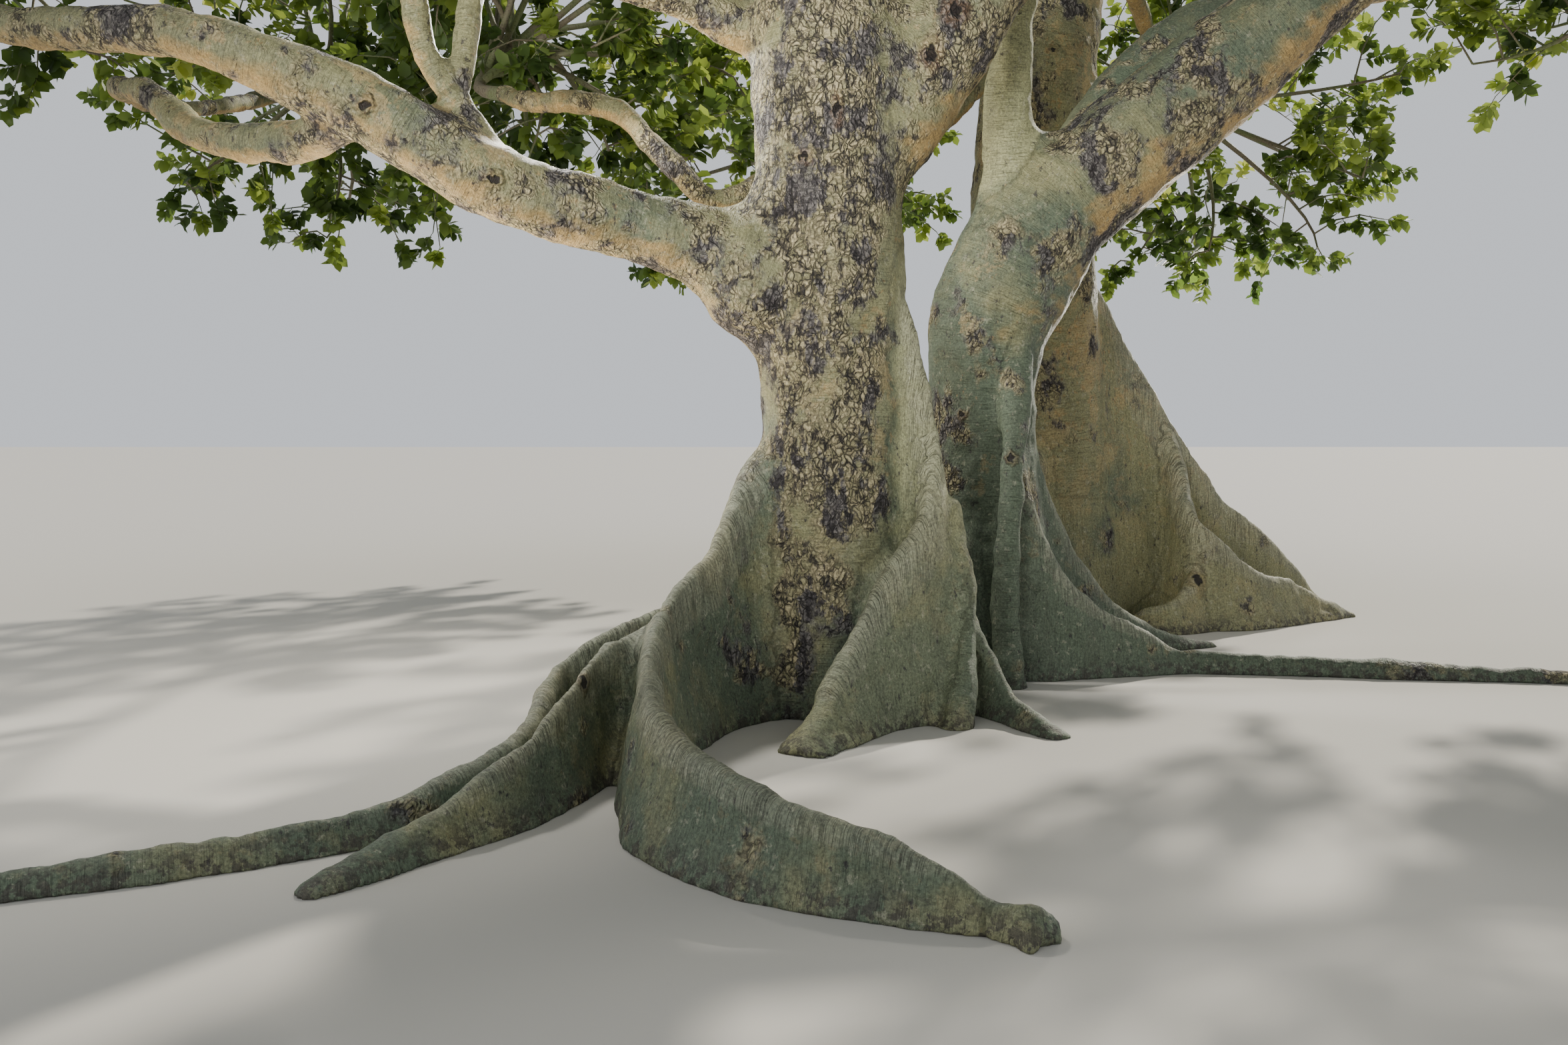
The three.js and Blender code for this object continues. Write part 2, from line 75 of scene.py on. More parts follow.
PLATE_WANDER = 0.11  # how far the edges of the bark's plates are pulled about
KNOT_WANDER = 0.06  # the same for a knot's edge
FAR_FROM_KNOTS = 10.0  # in a knot's own radii

MIDDLE_TRUNK = [
    (0, 0.06, -BURIED, 0.64),
    (0, 0.04, 0.45, 0.52),
    (-0.01, 0.02, 1.1, 0.44),
    (-0.02, 0, 1.9, 0.405),
    (-0.04, 0, 2.7, 0.41),
    (-0.06, 0, 3.5, 0.43),
]
# Walls are (x, y, height, thickness) along the ground, and round limbs (x, y, z, radius).
FRONT_WALL = [
    (0, 0.06, 2.3, 0.42),
    (-0.42, -0.14, 1.5, 0.33),
    (-0.69, -0.6, 0.93, 0.2),
    (-0.88, -1.2, 0.74, 0.15),
    (-0.885, -1.85, 0.6, 0.135),
    (-0.74, -2.48, 0.47, 0.195),
    (-0.37, -2.96, 0.35, 0.175),
    (0.07, -3.2, 0.25, 0.14),
    (0.45, -3.37, 0.08, 0.08),
]
LONG_LEFT_ROOT = [
    (-0.78, -0.56, 0.7, 0.15),
    (-1.23, -0.93, 0.54, 0.13),
    (-1.4, -1.13, 0.44, 0.13),
    (-1.44, -1.85, 0.29, 0.13),
    (-1.7, -2.3, 0.16, 0.12),
    (-2.2, -2.68, 0.12, 0.11),
    (-2.95, -3.06, 0.085, 0.09),
    (-3.7, -3.4, 0.02, 0.06),
]
SHORT_LEFT_ROOT = [
    (-0.88, -1.15, 0.66, 0.12),
    (-1.13, -1.5, 0.58, 0.1),
    (-1.24, -1.9, 0.46, 0.105),
    (-1.38, -2.25, 0.3, 0.125),
    (-1.62, -2.6, 0.14, 0.11),
    (-1.95, -3.08, 0.02, 0.07),
]
SMOOTH_RIDGE = [
    (0.12, 0, 2.7, 0.4),
    (0.4, -0.11, 2.25, 0.27),
    (0.53, -0.22, 1.55, 0.24),
    (0.46, -0.38, 1.15, 0.22),
    (0.22, -0.56, 0.78, 0.2),
    (0.03, -0.76, 0.42, 0.2),
    (-0.11, -0.98, 0.2, 0.19),
    (-0.23, -1.25, 0.03, 0.14),
]
RIGHT_RIDGE = [
    (0.15, 0.04, 2.5, 0.4),
    (0.56, -0.08, 1.5, 0.22),
    (0.7, -0.16, 0.8, 0.15),
    (0.81, -0.28, 0.42, 0.13),
    (0.93, -0.52, 0.15, 0.11),
    (1.12, -0.94, 0.02, 0.09),
]
FORKED_ROOT = [
    (0.61, -0.13, 1.15, 0.08),
    (0.69, -0.25, 0.74, 0.072),
    (0.7, -0.42, 0.42, 0.068),
    (0.66, -0.56, 0.19, 0.075),
    (0.6, -0.68, -0.06, 0.095),
]
WALL_END_KNOB = [
    (0.38, -3.35, 0.11, 0.1),
    (0.47, -3.4, 0.115, 0.1),
    (0.56, -3.37, 0.04, 0.06),
]
WALL_END_ROOT = [(0.47, -3.38, 0.07, 0.05), (0.455, -3.46, 0.03, 0.038), (0.44, -3.54, -0.03, 0.025)]
BACK_LEFT_WALL = [
    (0, 0.1, 2.1, 0.4),
    (-0.33, 0.62, 1.1, 0.26),
    (-0.62, 1.25, 0.52, 0.18),
    (-0.82, 1.95, 0.21, 0.13),
    (-1.15, 2.65, 0.03, 0.07),
]
BACK_WALL = [
    (0.02, 0.1, 1.9, 0.4),
    (0.16, 0.7, 1, 0.26),
    (0.15, 1.35, 0.46, 0.18),
    (-0.05, 2, 0.18, 0.13),
    (-0.18, 2.65, 0.03, 0.07),
]
MIDDLE_BOUGHS = {
    "left_bough": [
        (-0.06, 0.02, 2.29, 0.37),
        (-0.48, -0.05, 2.445, 0.35),
        (-0.76, -0.13, 2.585, 0.22),
        (-1.15, -0.25, 2.69, 0.19),
        (-1.78, -0.5, 2.845, 0.192),
        (-2.52, -0.7, 3.25, 0.18),
        (-3.22, -0.8, 3.51, 0.13),
        (-4.43, -0.4, 3.7, 0.1),
        (-4.95, -0.15, 3.98, 0.08),
    ],
    "middle_leader": [
        (-0.06, 0, 3.5, 0.43),
        (-0.13, -0.02, 4.2, 0.35),
        (-0.35, -0.25, 5.6, 0.29),
        (-0.25, -0.5, 7.2, 0.22),
        (-0.52, -0.5, 9.35, 0.1),
    ],
    "right_fork": [
        (-0.02, 0, 2.9, 0.3),
        (0.36, 0.05, 3.41, 0.32),
        (0.76, 0.1, 3.99, 0.28),
        (1.35, -0.15, 4.8, 0.23),
        (2.2, -0.9, 6.1, 0.16),
        (2.95, -1.85, 7.25, 0.09),
    ],
    "lower_left_bough": [
        (-2.48, -0.69, 3.2, 0.11),
        (-2.72, -0.56, 3.08, 0.098),
        (-3.07, -0.4, 3.09, 0.093),
        (-3.47, -0.2, 3.17, 0.088),
        (-3.93, 0.1, 3.47, 0.075),
        (-4.28, 0.5, 3.6, 0.068),
        (-4.5, 1.8, 3.8, 0.062),
        (-4.56, 3.45, 4.3, 0.055),
    ],
    "upright_bough": [
        (-1.8, -0.5, 2.85, 0.11),
        (-1.9, -0.46, 3.11, 0.082),
        (-2.03, -0.48, 3.3, 0.076),
    ],
    "upright_left_bough": [
        (-2.03, -0.48, 3.3, 0.072),
        (-2.15, -0.5, 3.48, 0.062),
        (-2.21, -0.56, 3.8, 0.06),
        (-2.35, -0.85, 5, 0.058),
        (-2.7, -1.15, 6.9, 0.05),
    ],
    "upright_right_bough": [
        (-2, -0.47, 3.27, 0.06),
        (-1.99, -0.4, 3.5, 0.062),
        (-1.96, -0.3, 3.9, 0.062),
        (-1.9, 0.7, 5.3, 0.058),
        (-2.5, 1.9, 7, 0.05),
    ],
    "upper_left_bough": [
        (-0.08, 0, 3.65, 0.15),
        (-0.48, 0.05, 3.8, 0.135),
        (-0.78, -0.02, 3.91, 0.105),
        (-1.3, -0.25, 4.06, 0.1),
        (-2.2, -1.4, 4.7, 0.085),
        (-3.2, -2.5, 5.35, 0.06),
    ],
}
# How much old plated bark a bough has, from none, through 1 on the trunk. Young green bark is below 0.
MIDDLE_PLATES = {"left_bough": 0.6, "middle_leader": 0.9, "right_fork": 0.75}
YOUNGER_PLATES = 0.4
# Knots are (limb, share along it, turn round it in degrees, radius, how much taller than wide). A turn of
# 0 is the front and 90 the right. On a wall a last value is the share of its height.
MIDDLE_KNOTS = [
    (MIDDLE_BOUGHS["right_fork"], 0.35, -5, 0.042, 1),
    (MIDDLE_BOUGHS["right_fork"], 0.27, 0, 0.038, 1.4),
    (MIDDLE_TRUNK, 0.94, 5, 0.018, 2.8),
    (MIDDLE_TRUNK, 0.88, -20, 0.028, 0.8),
    (MIDDLE_BOUGHS["left_bough"], 0.5, 0, 0.032, 0.7),
    (MIDDLE_BOUGHS["left_bough"], 0.6, 0, 0.026, 1),
    (SHORT_LEFT_ROOT, 0.3, 45, 0.028, 1, 0.9),
]


class Run:
    """A smooth line through places, with one or more sizes read along it."""

    def __init__(self, points):
        self.places = [Vector(point[:3]) for point in points]
        self.sizes = [Vector((*point[3:], 0, 0)[:2]) for point in points]
        self.last = len(points) - 1

    def leg(self, share):
        """The leg of the line that a share of the whole falls in, and the share of that leg."""
        along = min(max(share, 0), 1) * self.last
        start = min(int(along), self.last - 1)
        return start, along - start

    def at(self, share):
        """The place at a share of the line, on a smooth curve through its places."""
        i, part = self.leg(share)
        start, end = self.places[i], self.places[i + 1]
        before = self.places[i - 1] if i else 2 * start - end
        after = self.places[i + 2] if i + 2 <= self.last else 2 * end - start
        first, middle, third = [
            math.sqrt(max((b - a).length, 1e-6)) for a, b in ((before, start), (start, end), (end, after))
        ]
        chord = (end - start) / middle
        leaving = (start - before) / first - (end - before) / (first + middle) + chord
        arriving = chord - (after - start) / (middle + third) + (after - end) / third
        leaving, arriving = leaving * middle, arriving * middle
        bend = 3 * (end - start) - 2 * leaving - arriving
        twist = 2 * (start - end) + leaving + arriving
        return start + leaving * part + bend * part**2 + twist * part**3

    def heading(self, share):
        step = 1e-4
        return (self.at(min(share + step, 1)) - self.at(max(share - step, 0))).normalized()

    def size(self, share):
        i, part = self.leg(share)
        return self.sizes[i].lerp(self.sizes[i + 1], part)

    def shares(self, spacing):
        """Shares of the whole line, about `spacing` apart."""
        found = []
        for i in range(self.last):
            count = max(2, round((self.places[i + 1] - self.places[i]).length / spacing))
            found += [(i + k / count) / self.last for k in range(count)]
        return found + [1.0]


def extrude_along(run, stretch_of):
    """Extrudes the selected ring along a run. `stretch_of` gives a ring's width and height at a share."""
    shares = run.shares(RING_SPACING)
    for here, there in zip(shares, shares[1:]):
        place = run.at(there)
        bpy.ops.mesh.extrude_region_move(TRANSFORM_OT_translate={"value": place - run.at(here)})
        before, after = run.heading(here), run.heading(there)
        axis = before.cross(after)
        if axis.length > 1e-5:
            bpy.ops.transform.rotate(
                value=-before.angle(after),
                orient_axis="Z",
                orient_matrix=axis.to_track_quat("Z", "Y").to_matrix(),
                center_override=place,
            )
        (width, height), (old_width, old_height) = stretch_of(there), stretch_of(here)
        width, height = width / old_width, height / old_height
        bpy.ops.transform.resize(value=(width, width, height), center_override=place)


def limb(points, sides=BOUGH_POINTS):
    """One round tapering limb."""
    run = Run(points)
    bpy.ops.mesh.primitive_circle_add(
        vertices=sides,
        radius=run.size(0)[0],
        fill_type="NGON",
        location=run.at(0),
        rotation=run.heading(0).to_track_quat("Z", "Y").to_euler(),
    )
    bpy.ops.object.transform_apply()
    bpy.ops.object.mode_set(mode="EDIT")
    bpy.ops.mesh.select_all(action="SELECT")
    extrude_along(run, lambda share: (run.size(share)[0], run.size(share)[0]))
    bpy.ops.mesh.select_all(action="SELECT")
    bpy.ops.mesh.normals_make_consistent(inside=False)
    bpy.ops.object.mode_set(mode="OBJECT")
    return bpy.context.object


def select_points(test):
    """Selects the points of the mesh in edit mode whose place passes a test."""
    editing = bmesh.from_edit_mesh(bpy.context.object.data)
    for point in editing.verts:
        point.select_set(bool(test(point.co)))
    editing.select_flush_mode()


def wall_run(points):
    """The run of a wall over the ground, with its height and thickness as its sizes."""
    return Run([(x, y, 0, height, thickness) for x, y, height, thickness in points])


def wall(points):
    """One wall of root: an upright section, wide at its foot and round at its crest, run over the ground."""
    run = wall_run(points)
    upright = (math.pi / 2, 0, 0)
    bpy.ops.mesh.primitive_circle_add(vertices=WALL_POINTS, radius=1, fill_type="NGON", rotation=upright)
    bpy.ops.object.transform_apply()
    bpy.ops.object.mode_set(mode="EDIT")
    for level in sorted({round(math.cos(2 * math.pi * i / WALL_POINTS), 6) for i in range(WALL_POINTS)}):
        select_points(lambda place: abs(place.z - level) < SAME_LEVEL)
        full = (1 - abs(level) ** WALL_FULLNESS) ** (1 / WALL_FULLNESS) / math.sqrt(max(1 - level**2, 1e-6))
        flare = WALL_CREST + (WALL_FOOT - WALL_CREST) * (1 - max(level, 0)) ** 2
        depth = 1 if level > 0 else BURIED
        bpy.ops.transform.resize(value=(full * flare, 1, depth), center_override=(0, 0, 0))
    bpy.ops.mesh.select_all(action="SELECT")
    height, thickness = run.size(0)
    first = run.heading(0)
    bpy.ops.transform.resize(value=(thickness / 2, 1, height), center_override=(0, 0, 0))
    bpy.ops.transform.rotate(
        value=-math.atan2(-first.x, first.y), orient_axis="Z", center_override=(0, 0, 0)
    )
    bpy.ops.transform.translate(value=run.at(0))
    extrude_along(run, lambda share: (run.size(share)[1], run.size(share)[0]))
    bpy.ops.mesh.select_all(action="SELECT")
    bpy.ops.mesh.normals_make_consistent(inside=False)
    bpy.ops.object.mode_set(mode="OBJECT")
    return bpy.context.object


def apply_modifier(piece, kind, **settings):
    """Adds a modifier with these settings, and applies it at once."""
    modifier = piece.modifiers.new(kind.title(), kind)
    for setting, value in settings.items():
        setattr(modifier, setting, value)
    bpy.context.view_layer.objects.active = piece
    bpy.ops.object.modifier_apply(modifier=modifier.name)


def swell(piece, form, size, depth):
    """Raises and sinks the skin by a pattern of that size, through that depth in all."""
    pattern = bpy.data.textures.new(form, form)
    pattern.noise_scale = size
    apply_modifier(piece, "DISPLACE", texture=pattern, strength=depth, mid_level=0.5)


def join(name, pieces):
    """Joins pieces into one, and gives it that name."""
    bpy.ops.object.select_all(action="DESELECT")
    for piece in pieces:
        piece.select_set(True)
    bpy.context.view_layer.objects.active = pieces[0]
    bpy.ops.object.join()
    piece = bpy.context.object
    piece.name = name
    piece.data.name = name
    return piece


def web_over(piece, reach, voxel):
    """Fills the angles where limbs meet with a round web of bark, across gaps up to twice this reach."""
    apply_modifier(piece, "REMESH", mode="VOXEL", voxel_size=voxel)
    apply_modifier(piece, "DISPLACE", strength=reach, mid_level=0)
    apply_modifier(piece, "REMESH", mode="VOXEL", voxel_size=voxel)
    apply_modifier(piece, "SMOOTH", factor=0.5, iterations=WEB_SMOOTHING)
    apply_modifier(piece, "DISPLACE", strength=-reach, mid_level=0)


def grow_together(name, limbs, voxel):
    """Joins limbs into one closed skin, blends them where they meet and cuts them flat at the ground."""
    piece = join(name, limbs)
    web_over(piece, SMALL_WEB, voxel)
    apply_modifier(piece, "REMESH", mode="VOXEL", voxel_size=voxel)
    apply_modifier(piece, "SMOOTH", factor=0.5, iterations=SMOOTHING)
    apply_modifier(piece, "DISPLACE", strength=SWELLING, mid_level=0)
    swell(piece, "CLOUDS", **LUMPS)
    swell(piece, "CLOUDS", **KNOBS)
    swell(piece, "VORONOI", **FLAKES)
    bpy.ops.object.mode_set(mode="EDIT")
    bpy.ops.mesh.select_all(action="SELECT")
    bpy.ops.mesh.bisect(plane_co=(0, 0, 0), plane_no=(0, 0, 1), clear_inner=True, use_fill=True)
    bpy.ops.object.mode_set(mode="OBJECT")
    apply_modifier(piece, "TRIANGULATE")
    share = MOST_TRIANGLES / len(piece.data.polygons)
    if share < 1:
        apply_modifier(piece, "DECIMATE", ratio=share)
    bpy.ops.object.shade_smooth()
    return piece


def limb_core(points, plated):
    """Places down the middle of a round limb: place, radius, metres along, crest, plated bark, heading."""
    run = Run(points)
    along = 0
    rows = []
    shares = run.shares(CORE_SPACING)
    for here, there in zip(shares, [*shares[1:], None]):
        rows.append((*run.at(here), run.size(here)[0], along, 0, plated, *run.heading(here)))
        if there is not None:
            along += (run.at(there) - run.at(here)).length
    return np.array(rows, np.float32)


def wall_core(points, plated=0, margin=0):
    """Places over the middle of a wall of root, in the same form. A margin widens the wall's own bark."""
    run = wall_run(points)
    along = 0
    rows = []
    shares = run.shares(CORE_SPACING)
    for here, there in zip(shares, [*shares[1:], None]):
        place = run.at(here)
        height, thickness = run.size(here)
        for level in CORE_LEVELS:
            half = thickness / 2 * (WALL_CREST + (WALL_FOOT - WALL_CREST) * (1 - level) ** 2)
            top = min(height * level, max(height - half, 0))
            rows.append((place.x, place.y, top, half + margin, along, level, plated, *run.heading(here)))
        if there is not None:
            along += (run.at(there) - place).length
    return np.array(rows, np.float32)


def mark_bark(piece, cores):
    """Gives each point of a skin its distance along its limb, its nearness to a crest and its plates."""
    count = len(piece.data.vertices)
    each = np.arange(count)
    places = np.empty(count * 3, np.float32)
    piece.data.vertices.foreach_get("co", places)
    places = places.reshape(-1, 3)
    depths = np.empty((len(cores), count), np.float32)
    alongs, crests, plates = (np.empty((len(cores), count), np.float32) for _ in range(3))
    for i, core in enumerate(cores):
        squares = (places**2).sum(1)[:, None] + (core[:, :3] ** 2).sum(1)[None] - 2 * places @ core[:, :3].T
        reached = np.sqrt(np.maximum(squares, 0)) - core[:, 3][None]
        nearest = core[reached.argmin(1)]
        depths[i] = reached[each, reached.argmin(1)]
        alongs[i] = nearest[:, 4] + ((places - nearest[:, :3]) * nearest[:, 7:]).sum(1) + i * CORE_SHIFT
        crests[i], plates[i] = nearest[:, 5], nearest[:, 6]
    weights = np.exp((depths.min(0) - depths) / CORE_BLEND)
    weights /= weights.sum(0)
    marks = {
        "along": alongs[weights.argmax(0), each],
        "crest": (weights * crests).sum(0),
        "plated": (weights * plates).sum(0),
    }
    for name, values in marks.items():
        piece.data.attributes.new(name, "FLOAT", "POINT").data.foreach_set("value", values.astype(np.float32))


def add_node(tree, kind, inputs=(), **settings):
    """Adds a shader node. Its inputs are values, or the outputs of other nodes."""
    node = tree.nodes.new(kind)
    for setting, value in settings.items():
        setattr(node, setting, value)
    for name, value in dict(inputs).items():
        if isinstance(value, bpy.types.NodeSocket):
            tree.links.new(value, node.inputs[name])
        else:
            node.inputs[name].default_value = value
    return node


def sums(tree, operation, first, second=0.0):
    """The output of a Math node."""
    return add_node(tree, "ShaderNodeMath", {0: first, 1: second}, operation=operation).outputs[0]


def times(tree, first, second):
    return sums(tree, "MULTIPLY", first, second)


def plus(tree, first, second):
    return sums(tree, "ADD", first, second)


def vectors(tree, operation, *inputs, output=0):
    """An output of a Vector Math node."""
    node = add_node(tree, "ShaderNodeVectorMath", enumerate(inputs), operation=operation)
    return node.outputs[output]


def object_place(tree):
    """Each place on a piece, in the piece's own coordinates."""
    return add_node(tree, "ShaderNodeTexCoord").outputs["Object"]


def mark(tree, name):
    """One of the marks that mark_bark gives to the points of a skin."""
    return add_node(tree, "ShaderNodeAttribute", attribute_name=name).outputs["Fac"]


def squash(tree, tallness):
    """What places are multiplied by to make a pattern on them this much taller than wide."""
    upright = sums(tree, "DIVIDE", 1.0, tallness)
    return add_node(tree, "ShaderNodeCombineXYZ", {"X": 1.0, "Y": 1.0, "Z": upright}).outputs[0]


def ramp(tree, value, low, high, start=0.0, end=1.0, form="SMOOTHSTEP"):
    """A value turned from low..high into start..end."""
    inputs = {"Value": value, "From Min": low, "From Max": high, "To Min": start, "To Max": end}
    return add_node(tree, "ShaderNodeMapRange", inputs, interpolation_type=form).outputs["Result"]


def tint(tree, share, under, over, blend="MIX"):
    """One colour laid over another by a share."""
    inputs = {0: share, 6: under, 7: over}
    return add_node(tree, "ShaderNodeMix", inputs, data_type="RGBA", blend_type=blend).outputs[2]


def noise(tree, scale, detail=3.0, roughness=0.55, drawn=(1, 1, 1), across=None):
    """A noise pattern in the piece's own coordinates, drawn out by axis or across the limb."""
    place = add_node(tree, "ShaderNodeMapping", {"Vector": object_place(tree), "Scale": drawn}).outputs[0]
    inputs = {"Vector": place, "Scale": scale, "Detail": detail, "Roughness": roughness}
    if across is None:
        return add_node(tree, "ShaderNodeTexNoise", inputs).outputs["Fac"]
    inputs["W"] = across
    return add_node(tree, "ShaderNodeTexNoise", inputs, noise_dimensions="4D").outputs["Fac"]


def new_group(name, inputs, outputs):
    """An empty node group with named values in and out, and the sockets of its two end nodes."""
    group = bpy.data.node_groups.new(name, "ShaderNodeTree")
    for label, value in inputs.items():
        socket = group.interface.new_socket(label, in_out="INPUT", socket_type="NodeSocketFloat")
        socket.default_value = value
    for label in outputs:
        group.interface.new_socket(label, in_out="OUTPUT", socket_type="NodeSocketFloat")
    return group, group.nodes.new("NodeGroupInput").outputs, group.nodes.new("NodeGroupOutput").inputs


def use_group(tree, group, inputs):
    """A node group placed in a material with its own values."""
    return add_node(tree, "ShaderNodeGroup", inputs, node_tree=group).outputs


def grain_group():
    """The fine grain of thin bark: speckle, pores drawn out across the limb, runs of damp, and its height."""
    outputs = ("Speckle", "Pores", "Damp", "Height")
    group, given, made = new_group("bark_grain", {"Pores": 0.5}, outputs)
    speckle = noise(group, 75, detail=3, roughness=0.8)
    lines = noise(group, 9, detail=1, across=times(group, mark(group, "along"), 48))
    pores = times(group, ramp(group, lines, 0.6, 0.7), given["Pores"])
    height = sums(group, "SUBTRACT", speckle, times(group, pores, 0.6))
    group.links.new(speckle, made["Speckle"])
    group.links.new(pores, made["Pores"])
    group.links.new(ramp(group, noise(group, 7, detail=3, drawn=(1, 1, 0.09)), 0.45, 0.68), made["Damp"])
    group.links.new(height, made["Height"])
    return group


def plates_group():
    """Old bark that has cracked into small plates, taller than wide, with a shade of its own on each."""
    inputs = {"Size": 0.03, "Tallness": 1.7, "Crack Width": 0.06}
    group, given, made = new_group("cracked_plates", inputs, ("Cracks", "Shade", "Height"))
    place = object_place(group)
    inputs = {"Vector": place, "Scale": 9.0, "Detail": 2.0, "Roughness": 0.6}
    wander = add_node(group, "ShaderNodeTexNoise", inputs).outputs["Color"]
    place = vectors(group, "MULTIPLY_ADD", wander, (PLATE_WANDER,) * 3, place)
    place = vectors(group, "MULTIPLY", place, squash(group, given["Tallness"]))
    cells = {"Vector": place, "Scale": sums(group, "DIVIDE", 1.0, given["Size"]), "Randomness": 1.0}
    edge = add_node(group, "ShaderNodeTexVoronoi", cells, feature="DISTANCE_TO_EDGE").outputs["Distance"]
    shade = add_node(group, "ShaderNodeTexVoronoi", cells, feature="F1").outputs["Color"]
    shade = add_node(group, "ShaderNodeSeparateColor", {"Color": shade}).outputs["Red"]
    uneven = ramp(group, noise(group, 16, detail=2), 0.35, 0.65, 0.15, 1.5, form="LINEAR")
    width = times(group, given["Crack Width"], uneven)
    cracks = ramp(group, edge, width, 0.0)
    height = plus(group, ramp(group, edge, 0.0, 0.22), times(group, shade, 0.4))
    group.links.new(cracks, made["Cracks"])
    group.links.new(shade, made["Shade"])
    group.links.new(height, made["Height"])
    return group


def wrinkles_group():
    """Short creases across a limb, where the bark has bunched up."""
    group, given, made = new_group("cross_wrinkles", {"Spacing": 0.03, "Share": 0.5}, ("Creases",))
    across = sums(group, "DIVIDE", mark(group, "along"), given["Spacing"])
    folds = noise(group, 5, detail=1, across=across)
    creases = times(group, ramp(group, folds, 0.53, 0.66), given["Share"])
    group.links.new(creases, made["Creases"])
    return group


def patches_group():
    """Patches with ragged edges, taller than wide: a share of the surface, where a noise is over a level."""
    inputs = {"Size": 0.3, "Tallness": 1.0, "Cover": 0.3, "Seed": 0.0}
    group, given, made = new_group("ragged_patches", inputs, ("Mask",))
    shift = add_node(group, "ShaderNodeCombineXYZ", dict.fromkeys("XYZ", given["Seed"])).outputs[0]
    place = vectors(group, "MULTIPLY_ADD", object_place(group), squash(group, given["Tallness"]), shift)
    scale = sums(group, "DIVIDE", 1.0, given["Size"])
    inputs = {"Vector": place, "Scale": scale, "Detail": 5.0, "Roughness": 0.7}
    rough = add_node(group, "ShaderNodeTexNoise", inputs).outputs["Fac"]
    level = ramp(group, given["Cover"], 0.0, 1.0, 0.69, 0.31, form="LINEAR")
    group.links.new(ramp(group, sums(group, "SUBTRACT", rough, level), -0.015, 0.035), made["Mask"])
    return group


BARK_GRAIN = grain_group()
CRACKED_PLATES = plates_group()
CROSS_WRINKLES = wrinkles_group()
RAGGED_PATCHES = patches_group()

# Heights over which a finish of the bark, or a painted shade or light on it, comes in, in metres
SHADE_GREEN_HEIGHTS = (2.6, 0.5)
BOUNCE_LIGHT_HEIGHTS = (1.7, 2.5)
WORN_AND_WARM_LIGHT_HEIGHTS = (0.5, 2.2)
YOUNG_HEIGHTS = (0.7, 1.5)
SOIL_HEIGHTS = (0.15, 0.02)
RELIEF_DEPTH = 0.016

# Colours of the bark
OLIVE = (0.24, 0.235, 0.12, 1)
# green grey bark in patches, and the painted shade colour low down
GREEN_GREY_AND_SHADE = (0.107, 0.138, 0.09, 1)
YOUNG_GREEN = (0.37, 0.37, 0.2, 1)
# tan of worn bark, which also stands for painted warmer light higher up
TAN_AND_WARM_LIGHT = (0.46, 0.33, 0.15, 1)
ORANGE = (0.42, 0.22, 0.075, 1)
# painted warm light thrown up from the sunlit ground onto the boughs' undersides
BOUNCE_LIGHT_UNDERSIDE = (0.42, 0.28, 0.105, 1)
# pale spots on the bark, and the painted highlight along the crests
PALE_SPOT_AND_HIGHLIGHT = (0.42, 0.41, 0.3, 1)
PLATE_TAN = (0.52, 0.44, 0.26, 1)
PLATE_GREY = (0.15, 0.136, 0.148, 1)
CRACK = (0.016, 0.013, 0.012, 1)
BLOTCH = (0.035, 0.029, 0.033, 1)
DAMP = (0.09, 0.1, 0.07, 1)
SOIL = (0.05, 0.04, 0.034, 1)
# the painted shade inside a knot's hole
KNOT_HOLE_SHADE = (0.014, 0.008, 0.006, 1)


def patches(tree, size, cover, seed, tallness=1.0):
    """Where a material's ragged patches are."""
    inputs = {"Size": size, "Tallness": tallness, "Cover": cover, "Seed": seed}
    return use_group(tree, RAGGED_PATCHES, inputs)["Mask"]


def seat_knot(skin, points, share, turn, radius, tallness, level=1):
    """Seats a knot of a limb or wall on the finished skin: its place, radius and tallness."""
    run = Run(points)
    place = run.at(share)
    place.z *= level
    turn = math.radians(turn)
    place += Vector((math.sin(turn), -math.cos(turn), 0)) * run.size(share)[0]
    return (*skin.closest_point_on_mesh(place)[1], radius, tallness)


def nearness(tree, knots):
    """How far each place is from the nearest seated knot, in that knot's own radii."""
    place = object_place(tree)
    inputs = {"Vector": place, "Scale": 26.0, "Detail": 1.0}
    ragged = add_node(tree, "ShaderNodeTexNoise", inputs).outputs["Color"]
    place = vectors(tree, "MULTIPLY_ADD", ragged, (KNOT_WANDER,) * 3, place)
    middle = KNOT_WANDER / 2
    nearest = FAR_FROM_KNOTS
    for x, y, z, radius, tallness in knots:
        offset = vectors(tree, "SUBTRACT", place, (x + middle, y + middle, z + middle))
        offset = vectors(tree, "MULTIPLY", offset, (1 / radius, 1 / radius, 1 / radius / tallness))
        nearest = sums(tree, "MINIMUM", nearest, vectors(tree, "LENGTH", offset, output="Value"))
    return nearest


def new_material(name):
    """A new material, its node tree and its Principled BSDF."""
    material = bpy.data.materials.new(name)
    material.use_nodes = True
    return material, material.node_tree, material.node_tree.nodes["Principled BSDF"]


